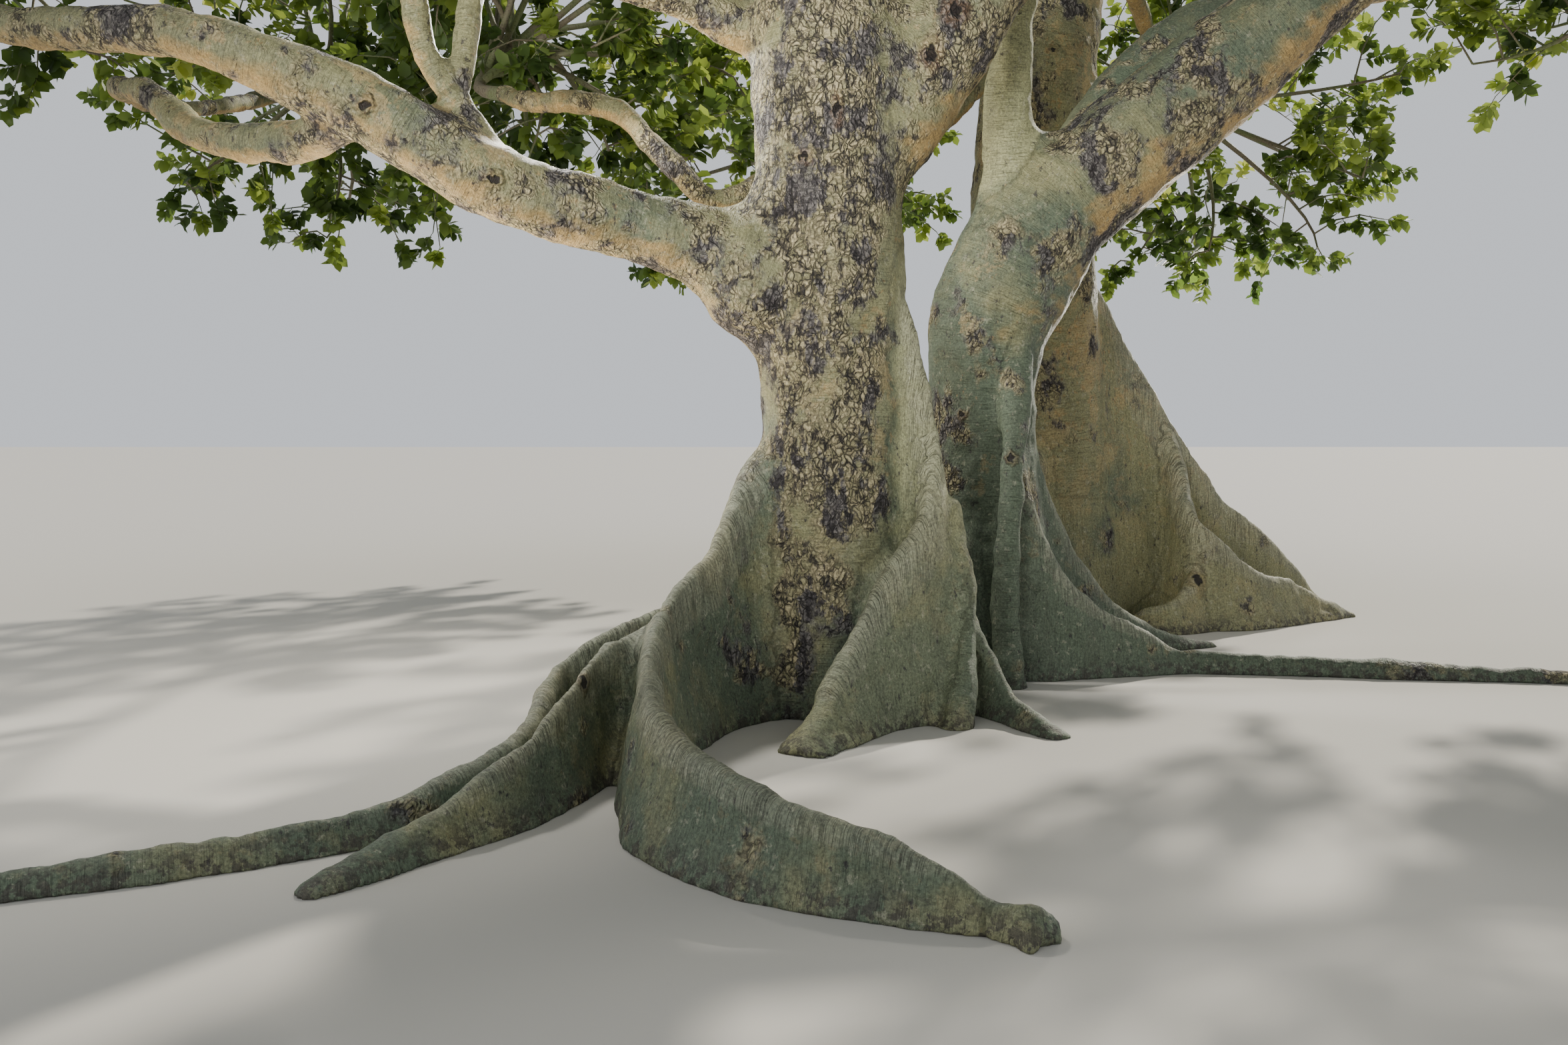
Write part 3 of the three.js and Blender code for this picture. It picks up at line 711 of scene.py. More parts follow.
def bark_material(name, green, tan, plates, knots=()):
    """Thin olive bark. `green`, `tan` and `plates` are how much of the stem has each finish; `green` also
    sets the painted shade green low down.
    """
    material, tree, face = new_material(name)
    grain = use_group(tree, BARK_GRAIN, {"Pores": 0.8})
    plated = mark(tree, "plated")
    geometry = add_node(tree, "ShaderNodeNewGeometry")
    upward = add_node(tree, "ShaderNodeSeparateXYZ", {"Vector": geometry.outputs["Normal"]}).outputs["Z"]
    height = add_node(tree, "ShaderNodeSeparateXYZ", {"Vector": object_place(tree)}).outputs["Z"]

    # thin skin: olive, green grey low down as partly painted shade and in patches, and tan under the boughs
    # as painted warm light from the ground
    large = noise(tree, 1.4, detail=5, roughness=0.6)
    # partly painted shade: lower down the skin turns greener grey, the colour of the shade under the crown
    lower = ramp(tree, height, *SHADE_GREEN_HEIGHTS, 0.09 * green, 0.3 * green)
    greened = plus(tree, large, lower)
    colour = tint(tree, ramp(tree, greened, 0.52, 0.72), OLIVE, GREEN_GREY_AND_SHADE)
    # painted light: faces turned down, between these heights, take the warm tan of light thrown up from the
    # ground
    under = ramp(tree, plus(tree, upward, large), 0.28, -0.15, 0, 0.9)
    under = times(tree, under, ramp(tree, height, *BOUNCE_LIGHT_HEIGHTS))
    colour = tint(tree, under, colour, BOUNCE_LIGHT_UNDERSIDE)
    worn_and_warm_light = patches(tree, size=0.4, cover=tan, seed=3.7)
    # the tan patches grow more common higher up: real wear, and partly painted warmer light on the upper
    # stems
    worn_and_warm_light = times(tree, worn_and_warm_light, ramp(tree, height, *WORN_AND_WARM_LIGHT_HEIGHTS, 0.12, 0.5))
    colour = tint(tree, worn_and_warm_light, colour, TAN_AND_WARM_LIGHT)
    flecks = patches(tree, size=0.05, cover=tan * 0.7, seed=9.1)
    flecks = times(tree, flecks, ramp(tree, height, *WORN_AND_WARM_LIGHT_HEIGHTS, 0.1, 0.35))
    colour = tint(tree, flecks, colour, ORANGE)
    young = ramp(tree, plated, -0.05, -0.5, 0, 0.9)
    young = times(tree, young, ramp(tree, height, *YOUNG_HEIGHTS, 0.25, 1))
    colour = tint(tree, young, colour, YOUNG_GREEN)
    spots = patches(tree, size=0.045, cover=0.24, seed=6.2)
    colour = tint(tree, times(tree, spots, 0.4), colour, PALE_SPOT_AND_HIGHLIGHT)
    colour = tint(tree, times(tree, grain["Damp"], 0.3), colour, DAMP)

    # old bark in clusters: tan and grey plates, cracked, with dark flakes
    clusters = plus(tree, noise(tree, 2.8, detail=5, roughness=0.6), times(tree, plated, 0.24 * plates))
    clusters = ramp(tree, clusters, 0.58, 0.7)
    fine = use_group(tree, CRACKED_PLATES, {"Size": 0.032, "Tallness": 1.4, "Crack Width": 0.1})
    broad = use_group(tree, CRACKED_PLATES, {"Size": 0.09, "Tallness": 2.2, "Crack Width": 0.06})
    grey = patches(tree, size=0.22, cover=0.46, seed=5.3, tallness=1.7)
    plate = tint(tree, times(tree, fine["Shade"], 0.7), PLATE_TAN, OLIVE)
    plate = tint(tree, times(tree, grey, 0.9), plate, PLATE_GREY)
    colour = tint(tree, times(tree, clusters, 0.92), colour, plate)
    cover = plus(tree, ramp(tree, clusters, 0, 1, 0.12, 0.4), times(tree, grey, 0.1))
    flakes = patches(tree, size=0.04, cover=cover, seed=1.9, tallness=1.8)
    colour = tint(tree, times(tree, flakes, 0.8), colour, BLOTCH)
    cracked = ramp(tree, noise(tree, 4.2, detail=3), 0.38, 0.52, 0.35, 1)
    cracks = sums(tree, "MAXIMUM", fine["Cracks"], broad["Cracks"])
    cracks = times(tree, cracks, times(tree, clusters, cracked))
    colour = tint(tree, times(tree, cracks, 0.95), colour, CRACK)

    # creases across the crests, a painted highlight along them, pores, and soil on the feet
    rim = ramp(tree, mark(tree, "crest"), 0.6, 0.95)
    creases = use_group(tree, CROSS_WRINKLES, {"Spacing": 0.017, "Share": 0.8})["Creases"]
    creases = times(tree, creases, ramp(tree, rim, 0, 1, 0.12, 1))
    # painted highlight: the crests of the walls and ridges are tinted pale, as where the light catches them
    colour = tint(tree, times(tree, rim, 0.4), colour, PALE_SPOT_AND_HIGHLIGHT)
    colour = tint(tree, times(tree, creases, 0.4), colour, CRACK)
    colour = tint(tree, times(tree, grain["Pores"], 0.22), colour, CRACK)
    soil = patches(tree, size=0.05, cover=0.5, seed=7.7)
    soil = times(tree, soil, ramp(tree, height, *SOIL_HEIGHTS))
    colour = tint(tree, times(tree, soil, 0.75), colour, SOIL)
    radii = nearness(tree, knots)
    knot_hole = ramp(tree, radii, 1.0, 0.7)
    lip = times(tree, ramp(tree, radii, 0.7, 1.1), ramp(tree, radii, 2.6, 1.2))
    colour = tint(tree, times(tree, lip, 0.18), colour, ORANGE)
    # painted shade: the middle of each knot is filled near black, as the shade inside its hole
    colour = tint(tree, times(tree, knot_hole, 0.97), colour, KNOT_HOLE_SHADE)
    speckled = ramp(tree, grain["Speckle"], 0.25, 0.75, 0.35, 1.65, form="LINEAR")
    shade = add_node(tree, "ShaderNodeCombineColor", {0: speckled, 1: speckled, 2: speckled}).outputs[0]
    colour = tint(tree, 1.0, colour, shade, blend="MULTIPLY")
    tree.links.new(colour, face.inputs["Base Color"])
    tree.links.new(ramp(tree, clusters, 0.0, 1.0, 0.66, 0.88), face.inputs["Roughness"])

    # relief of the same finishes
    relief = times(tree, grain["Height"], 0.35)
    relief = plus(tree, relief, times(tree, fine["Height"], clusters))
    relief = sums(tree, "SUBTRACT", relief, times(tree, creases, 0.7))
    relief = plus(tree, relief, times(tree, sums(tree, "SUBTRACT", lip, knot_hole), 1.6))
    bump = add_node(tree, "ShaderNodeBump", {"Height": relief, "Strength": 1.0, "Distance": RELIEF_DEPTH})
    tree.links.new(bump.outputs["Normal"], face.inputs["Normal"])
    return material


middle_ridges = (SMOOTH_RIDGE, RIGHT_RIDGE, LONG_LEFT_ROOT, SHORT_LEFT_ROOT, WALL_END_KNOB)
middle_walls = (FRONT_WALL, BACK_LEFT_WALL, BACK_WALL)
great_boughs = ("left_bough", "middle_leader", "right_fork")
core_limbs = [limb(MIDDLE_TRUNK, TRUNK_POINTS)]
core_limbs += [wall(points) for points in middle_walls]
core_limbs += [limb(MIDDLE_BOUGHS[name]) for name in great_boughs]
middle_core = join("middle_core", core_limbs)
web_over(middle_core, WIDE_WEB, COARSE)
middle_limbs = [middle_core] + [wall(points) for points in middle_ridges]
middle_limbs += [limb(FORKED_ROOT), limb(WALL_END_ROOT)]
middle_limbs += [limb(points) for name, points in MIDDLE_BOUGHS.items() if name not in great_boughs]
middle_bark = grow_together("middle_stem_bark", middle_limbs, voxel=0.019)

middle_cores = [limb_core(MIDDLE_TRUNK, 1)]
middle_cores += [wall_core(points) for points in middle_walls + middle_ridges[1:]]
middle_cores += [wall_core(SMOOTH_RIDGE, plated=-0.9, margin=0.09), limb_core(FORKED_ROOT, 0)]
middle_cores += [
    limb_core(points, MIDDLE_PLATES.get(name, YOUNGER_PLATES)) for name, points in MIDDLE_BOUGHS.items()
]
mark_bark(middle_bark, middle_cores)
middle_knots = [seat_knot(middle_bark, *knot) for knot in MIDDLE_KNOTS]
middle_paint = bark_material("middle_bark", green=0.6, tan=0.3, plates=1, knots=middle_knots)
middle_bark.data.materials.append(middle_paint)
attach(middle_bark, "root")
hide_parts("middle_stem", *MIDDLE_BOUGHS)


# Right stem
# It stands behind the middle one and leans into one great bough, with a free root that has thickened
# into a column in front, and a long root that runs on over the ground to the right.
RIGHT_WEB = 0.1
RIGHT_TRUNK = [
    (1.1, 1.12, -BURIED, 0.56),
    (1.07, 1.1, 0.45, 0.42),
    (1.02, 1.05, 1.2, 0.34),
    (0.99, 1.01, 1.8, 0.335),
    (1.03, 1, 2.25, 0.39),
    (1.23, 1, 2.7, 0.41),
]
COLUMN = [
    (1.13, 0.82, 2.35, 0.14),
    (1.15, 0.66, 1.85, 0.095),
    (1.1, 0.47, 1.25, 0.074),
    (1.06, 0.42, 0.7, 0.072),
    (1.06, 0.39, 0.3, 0.075),
    (1.13, 0.33, -BURIED, 0.11),
]
LONG_RIGHT_ROOT = [
    (1.1, 0.95, 2.1, 0.35),
    (1.2, 0.68, 1.35, 0.19),
    (1.41, 0.66, 0.72, 0.15),
    (1.8, 0.76, 0.4, 0.14),
    (2.26, 0.84, 0.16, 0.13),
    (3.3, 0.7, 0.11, 0.12),
    (4.5, 0.5, 0.09, 0.11),
    (5.6, 0.35, 0.02, 0.06),
]
SECOND_RIGHT_ROOT = [
    (1.2, 1.15, 2.1, 0.35),
    (1.44, 1.23, 1.25, 0.19),
    (1.7, 1.34, 0.76, 0.15),
    (1.98, 1.46, 0.38, 0.14),
    (2.35, 1.62, 0.15, 0.12),
    (2.85, 1.76, 0.02, 0.07),
]
RIGHT_BACK_WALL = [
    (1.15, 1.15, 1.8, 0.35),
    (0.9, 1.65, 0.85, 0.22),
    (0.78, 2.25, 0.3, 0.15),
    (0.56, 2.8, 0.03, 0.07),
]
WEB_TO_MIDDLE = [
    (1.12, 1, 1.5, 0.28),
    (0.82, 0.7, 0.85, 0.19),
    (0.5, 0.38, 0.56, 0.15),
    (0.25, 0.2, 0.45, 0.12),
]
RIGHT_BOUGHS = {
    "right_bough": [
        (1.23, 1, 2.7, 0.41),
        (1.44, 0.99, 2.96, 0.385),
        (1.8, 0.95, 3.27, 0.365),
        (2.54, 0.85, 3.88, 0.32),
        (3.3, 0.6, 4.5, 0.26),
        (4.5, 0.05, 5, 0.18),
        (5.75, -0.68, 5.32, 0.09),
    ],
    "green_bough": [
        (1.19, 1, 2.65, 0.24),
        (1.13, 0.96, 3.15, 0.175),
        (1.11, 0.85, 3.76, 0.135),
        (1.2, 0.75, 4.5, 0.125),
        (1.7, 0.1, 6.5, 0.105),
        (1.9, -0.7, 9.35, 0.07),
    ],
    "rear_right_bough": [
        (1.45, 1.08, 2.98, 0.22),
        (1.83, 1.4, 3.6, 0.225),
        (2.48, 1.62, 4.25, 0.2),
        (3.9, 2.1, 4.75, 0.14),
        (5.55, 2.7, 5.05, 0.08),
    ],
}
RIGHT_PLATES = {"right_bough": 0.6, "green_bough": -1, "rear_right_bough": 0.3}
RIGHT_TRUNK_PLATES = 0.35
RIGHT_KNOTS = [(COLUMN, 0.35, -20, 0.024, 1), (RIGHT_TRUNK, 0.55, -30, 0.018, 1.2)]

right_walls = (LONG_RIGHT_ROOT, SECOND_RIGHT_ROOT, RIGHT_BACK_WALL, WEB_TO_MIDDLE)
core_limbs = [limb(RIGHT_TRUNK, TRUNK_POINTS)]
core_limbs += [wall(points) for points in right_walls]
core_limbs += [limb(points) for points in RIGHT_BOUGHS.values()]
right_core = join("right_core", core_limbs)
web_over(right_core, RIGHT_WEB, COARSE)
right_bark = grow_together("right_stem_bark", [right_core, limb(COLUMN)], voxel=0.019)
right_cores = [limb_core(RIGHT_TRUNK, RIGHT_TRUNK_PLATES), limb_core(COLUMN, 0)]
right_cores += [wall_core(points) for points in right_walls]
right_cores += [limb_core(points, RIGHT_PLATES[name]) for name, points in RIGHT_BOUGHS.items()]
mark_bark(right_bark, right_cores)
right_knots = [seat_knot(right_bark, *knot) for knot in RIGHT_KNOTS]
right_paint = bark_material("right_bark", green=2.2, tan=0.16, plates=0.9, knots=right_knots)
right_bark.data.materials.append(right_paint)
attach(right_bark, "root")
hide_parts("right_stem", *RIGHT_BOUGHS)


# Rear stem
# The thickest of the three, with one great wall of root to the right. A lobe and a low sill of root
# close off a dark pocket at the foot of that wall.
REAR_WEB = 0.12
REAR_TRUNK = [
    (1.85, 3.17, -BURIED, 0.68),
    (1.84, 3.12, 0.5, 0.58),
    (1.79, 3, 1.4, 0.52),
    (1.7, 2.91, 2.5, 0.485),
    (1.67, 2.9, 3.5, 0.47),
    (1.72, 2.9, 4.4, 0.44),
]
GREAT_WALL = [
    (1.8, 3, 3.5, 0.8),
    (2.1, 3.04, 2.95, 0.66),
    (2.37, 3.08, 2.45, 0.48),
    (2.9, 3.14, 1.6, 0.26),
    (3.34, 3.2, 0.99, 0.18),
    (3.7, 3.3, 0.74, 0.15),
    (4.06, 3.5, 0.4, 0.14),
    (4.45, 3.75, 0.03, 0.08),
]
LOBE = [
    (2.82, 3.1, 1.65, 0.3),
    (2.9, 2.8, 1.14, 0.22),
    (2.93, 2.6, 0.88, 0.19),
    (3.2, 2.6, 0.62, 0.19),
    (3.47, 2.7, 0.43, 0.18),
    (3.78, 2.88, 0.36, 0.16),
    (4.45, 3.2, 0.03, 0.08),
]
SILL = [
    (2.95, 2.6, 0.6, 0.18),
    (2.83, 2.43, 0.34, 0.15),
    (2.64, 2.33, 0.24, 0.13),
    (2.45, 2.37, 0.17, 0.12),
    (2.28, 2.55, 0.03, 0.08),
]
POCKET_FLOOR = [(2.2, 2.8, 0.06, 0.28), (2.55, 2.74, 0.055, 0.26), (2.9, 2.7, 0.06, 0.24)]
WEB_TO_RIGHT = [
    (1.75, 2.8, 1.9, 0.38),
    (1.5, 2.15, 0.85, 0.22),
    (1.35, 1.65, 0.48, 0.17),
    (1.25, 1.25, 0.38, 0.14),
]
REAR_RIGHT_WALL = [
    (1.85, 3.1, 2.4, 0.46),
    (2.25, 3.7, 1.25, 0.29),
    (2.8, 4.3, 0.56, 0.19),
    (3.35, 5.05, 0.2, 0.14),
    (4.05, 5.5, 0.03, 0.07),
]
REAR_LEFT_WALL = [
    (1.8, 3.1, 2.3, 0.46),
    (1.5, 3.75, 1.15, 0.29),
    (1.05, 4.4, 0.48, 0.19),
    (0.75, 5.2, 0.16, 0.13),
    (0.15, 5.8, 0.03, 0.07),
]
REAR_BOUGHS = {
    "rear_leader": [
        (1.72, 2.9, 4.4, 0.44),
        (1.9, 3.05, 5.4, 0.34),
        (1.95, 2.6, 7, 0.23),
        (2.25, 2.15, 9.35, 0.1),
    ],
    "sweeping_bough": [
        (1.6, 2.9, 4.38, 0.12),
        (1.19, 2.45, 4.17, 0.1),
        (0.76, 2.2, 3.78, 0.1),
        (-0.25, 1.95, 3.4, 0.095),
        (-0.78, 1.7, 3.15, 0.09),
        (-1.09, 1.5, 3.38, 0.078),
        (-1.5, 1.56, 3.76, 0.072),
        (-2.04, 1.72, 3.82, 0.066),
        (-2.35, 2.15, 4, 0.06),
    ],
}
REAR_TRUNK_PLATES = 0.35
REAR_BOUGH_PLATES = 0.5
REAR_KNOTS = [(LOBE, 0.35, 0, 0.04, 1.7, 0.5), (REAR_BOUGHS["rear_leader"], 0, 0, 0.025, 1)]

rear_walls = (GREAT_WALL, WEB_TO_RIGHT, REAR_RIGHT_WALL, REAR_LEFT_WALL)
pocket_walls = (LOBE, SILL, POCKET_FLOOR)
core_limbs = [limb(REAR_TRUNK, TRUNK_POINTS), limb(REAR_BOUGHS["rear_leader"])]
core_limbs += [wall(points) for points in rear_walls]
rear_core = join("rear_core", core_limbs)
web_over(rear_core, REAR_WEB, COARSE)
rear_limbs = [rear_core, limb(REAR_BOUGHS["sweeping_bough"])] + [wall(points) for points in pocket_walls]
rear_bark = grow_together("rear_stem_bark", rear_limbs, voxel=0.023)
rear_cores = [limb_core(REAR_TRUNK, REAR_TRUNK_PLATES)]
rear_cores += [wall_core(points) for points in rear_walls + pocket_walls]
rear_cores += [limb_core(points, REAR_BOUGH_PLATES) for points in REAR_BOUGHS.values()]
mark_bark(rear_bark, rear_cores)
rear_knots = [seat_knot(rear_bark, *knot) for knot in REAR_KNOTS]
rear_paint = bark_material("rear_bark", green=0, tan=0.42, plates=1, knots=rear_knots)
rear_bark.data.materials.append(rear_paint)
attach(rear_bark, "root")
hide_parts("rear_stem", *REAR_BOUGHS)


# Masses of foliage and the boughs that carry them
# The crown is three tiers of foliage round its axis and one mass low behind the middle stem. Each mass has
# its own space: a flattened ball, cut off halfway to its neighbours.
CROWN_CENTRE = Vector((0.8, 0.8, 0))
TIERS = {
    "low_foliage": {"count": 9, "radius": 6.9, "height": 5.45, "sink": 0.75, "reach": 2.75, "first": 180},
    "middle_foliage": {"count": 7, "radius": 4.5, "height": 8.5, "sink": 0.1, "reach": 2.8, "first": 208},
    "top_foliage": {"count": 4, "radius": 2.05, "height": 11.0, "sink": 0, "reach": 2.7, "first": 215},
}
INNER_FOLIAGE = {"centre": (-2.3, 3.4, 4.9), "reach": 2.3}
FLATNESS = 0.8  # a mass is this much lower than it is wide
NECK = 0.64  # a bough ends at this share of the way out of its mass
SPARE_ROOM = 0.1  # how far the finest twigs may stand out of the box of a mass's solid
ROUNDING = 4  # how gently a mass's space bends where that box cuts it: high is abrupt
DOME_CENTRE = np.array((*CROWN_CENTRE[:2], 8.6))  # the crown's top is rounded off by half an egg
DOME_SIZES = np.array((4.4, 4.4, 4.5))
# Boughs that only carry foliage: (mass, parent bough, share along the parent, radius there)
CARRIERS = {
    "rear_low_bough": ("low_foliage_3", "rear_leader", 0.24, 0.12),
    "rear_right_low_bough": ("low_foliage_4", "rear_leader", 0.36, 0.12),
    "front_right_bough": ("low_foliage_7", "right_fork", 0.6, 0.115),
    "front_bough": ("low_foliage_8", "middle_leader", 0.38, 0.115),
    "rear_high_bough": ("middle_foliage_3", "rear_leader", 0.48, 0.1),
    "rear_right_high_bough": ("middle_foliage_4", "rear_leader", 0.58, 0.1),
    "right_high_bough": ("middle_foliage_5", "right_bough", 0.56, 0.11),
    "front_high_bough": ("middle_foliage_7", "middle_leader", 0.56, 0.095),
    "top_bough": ("top_foliage_2", "middle_leader", 0.74, 0.08),
}
OUTER_PLATES = 0.2  # how much old plated bark the outer boughs have
CARRIER_BOW = 0.14  # share of its length by which a carrier bows up
CARRIER_TIP = 0.055
# The masses at the ends of the boughs that the stems carry
OWN_RUN = {
    "left_bough": "low_foliage_1",
    "right_bough": "low_foliage_6",
    "middle_leader": "top_foliage_1",
    "right_fork": "middle_foliage_6",
    "rear_leader": "top_foliage_3",
    "lower_left_bough": "low_foliage_2",
    "upright_left_bough": "middle_foliage_1",
    "upright_right_bough": "middle_foliage_2",
    "upper_left_bough": "low_foliage_9",
    "green_bough": "top_foliage_4",
    "rear_right_bough": "low_foliage_5",
    "sweeping_bough": "inner_foliage",
}

centres = {}
reaches = {}
for tier, shape in TIERS.items():
    for i in range(shape["count"]):
        turn = math.radians(shape["first"] - i * 360 / shape["count"])
        out = Vector((math.cos(turn), math.sin(turn), 0))
        centre = CROWN_CENTRE + out * shape["radius"]
        centre.z = shape["height"] - shape["sink"] * out.y
        centres[f"{tier}_{i + 1}"] = centre
        reaches[f"{tier}_{i + 1}"] = shape["reach"]
centres["inner_foliage"] = Vector(INNER_FOLIAGE["centre"])
reaches["inner_foliage"] = INNER_FOLIAGE["reach"]


def to_dome(place, directions):
    """How far it is from a place inside the crown's round top to its outside, in each direction."""
    start = (place - DOME_CENTRE) / DOME_SIZES
    aims = directions / DOME_SIZES
    steepness = (aims**2).sum(1)
    half = aims @ start
    return (np.sqrt(half**2 + steepness * (1 - start @ start)) - half) / steepness


def room(mass, directions):
    """How far a mass's space goes from its centre in each direction, a row of an array."""
    level = np.hypot(directions[:, 0], directions[:, 1]) / reaches[mass]
    upright = directions[:, 2] / (reaches[mass] * FLATNESS)
    far = 1 / np.hypot(level, upright)
    centre = np.array(centres[mass])
    for other in centres:
        if other == mass:
            continue
        between = np.array(centres[other]) - centre
        towards = np.maximum(directions @ between, 1e-6)
        far = np.minimum(far, between @ between / 2 / towards)
    if mass.startswith("top_foliage"):
        far = np.minimum(far, to_dome(centre, directions))
    low, high = (np.array(corner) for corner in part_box(mass))
    walls = np.where(directions > 0, high + SPARE_ROOM - centre, low - SPARE_ROOM - centre)
    sizes = np.where(np.abs(directions) < 1e-6, 1e-6, directions)
    walled = np.min(np.abs(walls / sizes), axis=1)
    return (far**-ROUNDING + walled**-ROUNDING) ** (-1 / ROUNDING)


def free_room(mass, direction):
    """A mass's space in one direction, before its solid's box or the crown's round top limits it."""
    level = math.hypot(direction.x, direction.y) / reaches[mass]
    far = 1 / math.hypot(level, direction.z / (reaches[mass] * FLATNESS))
    for other in centres:
        between = centres[other] - centres[mass]
        towards = direction.dot(between)
        if other != mass and towards > 0:
            far = min(far, between.length_squared / 2 / towards)
    return far


runs = {name: Run(points) for name, points in {**MIDDLE_BOUGHS, **RIGHT_BOUGHS, **REAR_BOUGHS}.items()}
outer_limbs = []
for name, (mass, parent, parent_share, radius) in CARRIERS.items():
    start = runs[parent].at(parent_share)
    back = (start - centres[mass]).normalized()
    end = centres[mass] + back * free_room(mass, back) * NECK
    bow = (start - end).length * CARRIER_BOW
    points = []
    for share in (0, 0.33, 0.67, 1):
        place = start.lerp(end, share) + Vector((0, 0, bow * math.sin(math.pi * share)))
        points.append((*place, radius + (CARRIER_TIP - radius) * share))
    runs[name] = Run(points)
    outer_limbs.append(limb(points))
outer_bark = grow_together("outer_boughs_bark", outer_limbs, voxel=0.022)
carrier_points = [[(*p, s[0]) for p, s in zip(runs[name].places, runs[name].sizes)] for name in CARRIERS]
mark_bark(outer_bark, [limb_core(points, OUTER_PLATES) for points in carrier_points])
outer_bark.data.materials.append(bark_material("outer_bark", green=0.4, tan=0.36, plates=1))
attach(outer_bark, "root")
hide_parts(*CARRIERS)


# Twigs
# The stem of each mass goes on from its bough, and twigs share the mass's space out evenly. Side twigs
# leave them all round, and short shoots leave those, one for each spray of leaves.
GOLDEN_ANGLE = math.pi * (3 - math.sqrt(5))
WHOLE_TURN = 6.28
STEM_OVERLAP = 0.12  # how far a mass's stem starts back inside its bough
STEM_BEND = 0.2  # how far it runs straight on from its bough, as a share of the mass's reach
STEM_TAPER = 0.5  # its thickness in the middle of the mass, as a share of its bough's
STEM_RINGS = 10
TWIGS = 18
TWIG_RINGS = 8
TWIG_SIZES = (0.03, 0.011)  # radius at its root and at its tip
TWIG_STARTS = (0.45, 0.5)  # twigs leave the stem from this share of it, over this share
TWIG_REACH = (0.8, 0.93)  # shares of a mass's space
TWIG_WANDER = 0.08
SIDE_TWIGS = 6
SIDE_RINGS = 4
SIDE_SIZES = (0.011, 0.005)
SIDE_STARTS = (0.34, 0.66)
SIDE_REACH = (0.3, 0.44)
SIDE_LIMIT = 0.96  # side twigs stay within this share of the space
SIDE_LEANS = (1.6, 0.55)  # how far the last one leans along its twig, and the others
SIDE_RISE = 0.15
SIDE_BOW = 0.06
SIDE_WANDER = 0.03
SHOOTS = 5
SHOOT_SIZES = (0.0045, 0.002)
SHOOT_START = 0.22
SHOOT_LEANS = (2.0, 0.5)
SHOOT_LENGTH = 0.24
SHOOT_SPREAD = (0.7, 1.2)
TWIG_GREY = (0.2, 0.17, 0.12, 1)
TWIG_GREEN = (0.17, 0.2, 0.09, 1)


def twig_material():
    """Young bark: grey brown, green in places, and finely speckled."""
    material, tree, face = new_material("twig_bark")
    colour = tint(tree, ramp(tree, noise(tree, 2.5), 0.4, 0.6), TWIG_GREY, TWIG_GREEN)
    colour = tint(tree, ramp(tree, noise(tree, 60), 0.5, 0.7, 0, 0.5), colour, CRACK)
    tree.links.new(colour, face.inputs["Base Color"])
    tree.links.new(ramp(tree, noise(tree, 60), 0.3, 0.7, 0.6, 0.85), face.inputs["Roughness"])
    return material


def seeded(seed):
    """A seeded source of numbers from 0 to 1, the same on every run."""
    state = seed
    while True:
        state = (state * 1664525 + 1013904223) % 4294967296
        yield state / 4294967296


def unit(rows):
    """Each row of an array, at length 1."""
    return rows / np.maximum(np.linalg.norm(rows, axis=1, keepdims=True), 1e-9)


def around(directions, turns):
    """For each direction a unit row at right angles to it, turned round it by an angle."""
    helper = np.where(np.abs(directions[:, 2:]) < 0.9, (0.0, 0.0, 1.0), (1.0, 0.0, 0.0))
    across = unit(np.cross(directions, helper))
    other = np.cross(directions, across)
    return across * np.cos(turns)[:, None] + other * np.sin(turns)[:, None]


def bends(starts, middles, ends, shares):
    """Places at some shares of the curves that pass through three rows: (curves, shares, 3)."""
    handles = 2 * middles - (starts + ends) / 2
    part = np.asarray(shares)[None, :, None]
    curve = (1 - part) ** 2 * starts[:, None] + 2 * part * (1 - part) * handles[:, None]
    return curve + part**2 * ends[:, None]


def tube_mesh(lines, sizes, sides):
    """Points and faces of tapering tubes along lines, an array of (tubes, rings, 3)."""
    tubes, rings = lines.shape[:2]
    along = unit(lines[:, -1] - lines[:, 0])
    turns = np.arange(sides) * 2 * math.pi / sides
    spokes = np.stack([around(along, np.full(tubes, turn)) for turn in turns], axis=1)
    radii = np.linspace(sizes[0], sizes[1], rings)[None, :, None, None]
    points = lines[:, :, None] + spokes[:, None] * radii
    first = np.arange(tubes)[:, None, None] * rings * sides
    ring = np.arange(rings - 1)[None, :, None] * sides
    side = np.arange(sides)[None, None]
    after = (side + 1) % sides
    a, b = first + ring + side, first + ring + after
    c, d = b + sides, a + sides
    faces = np.stack([a, b, c, d], axis=-1).reshape(-1, 4)
    return points.reshape(-1, 3), faces


def mesh_piece(name, points, faces, deals=None):
    """A smooth mesh object from arrays of points and of faces, with each face's material if given."""
    mesh = bpy.data.meshes.new(name)
    corners = faces.shape[1]
    mesh.vertices.add(len(points))
    mesh.vertices.foreach_set("co", points.astype(np.float32).ravel())
    mesh.loops.add(faces.size)
    mesh.loops.foreach_set("vertex_index", faces.astype(np.int32).ravel())
    mesh.polygons.add(len(faces))
    mesh.polygons.foreach_set("loop_start", np.arange(len(faces), dtype=np.int32) * corners)
    mesh.polygons.foreach_set("use_smooth", np.full(len(faces), True))
    if deals is not None:
        mesh.polygons.foreach_set("material_index", deals.astype(np.int32))
    mesh.update(calc_edges=True)
    mesh.validate()
    piece = bpy.data.objects.new(name, mesh)
    bpy.context.scene.collection.objects.link(piece)
    return piece


def mass_stem(run, mass):
    """The stem of a mass: on from its bough, and then to the middle of the mass."""
    tip = run.at(1)
    heading = run.heading(1)
    return Run([tip - heading * STEM_OVERLAP, tip + heading * reaches[mass] * STEM_BEND, centres[mass]])


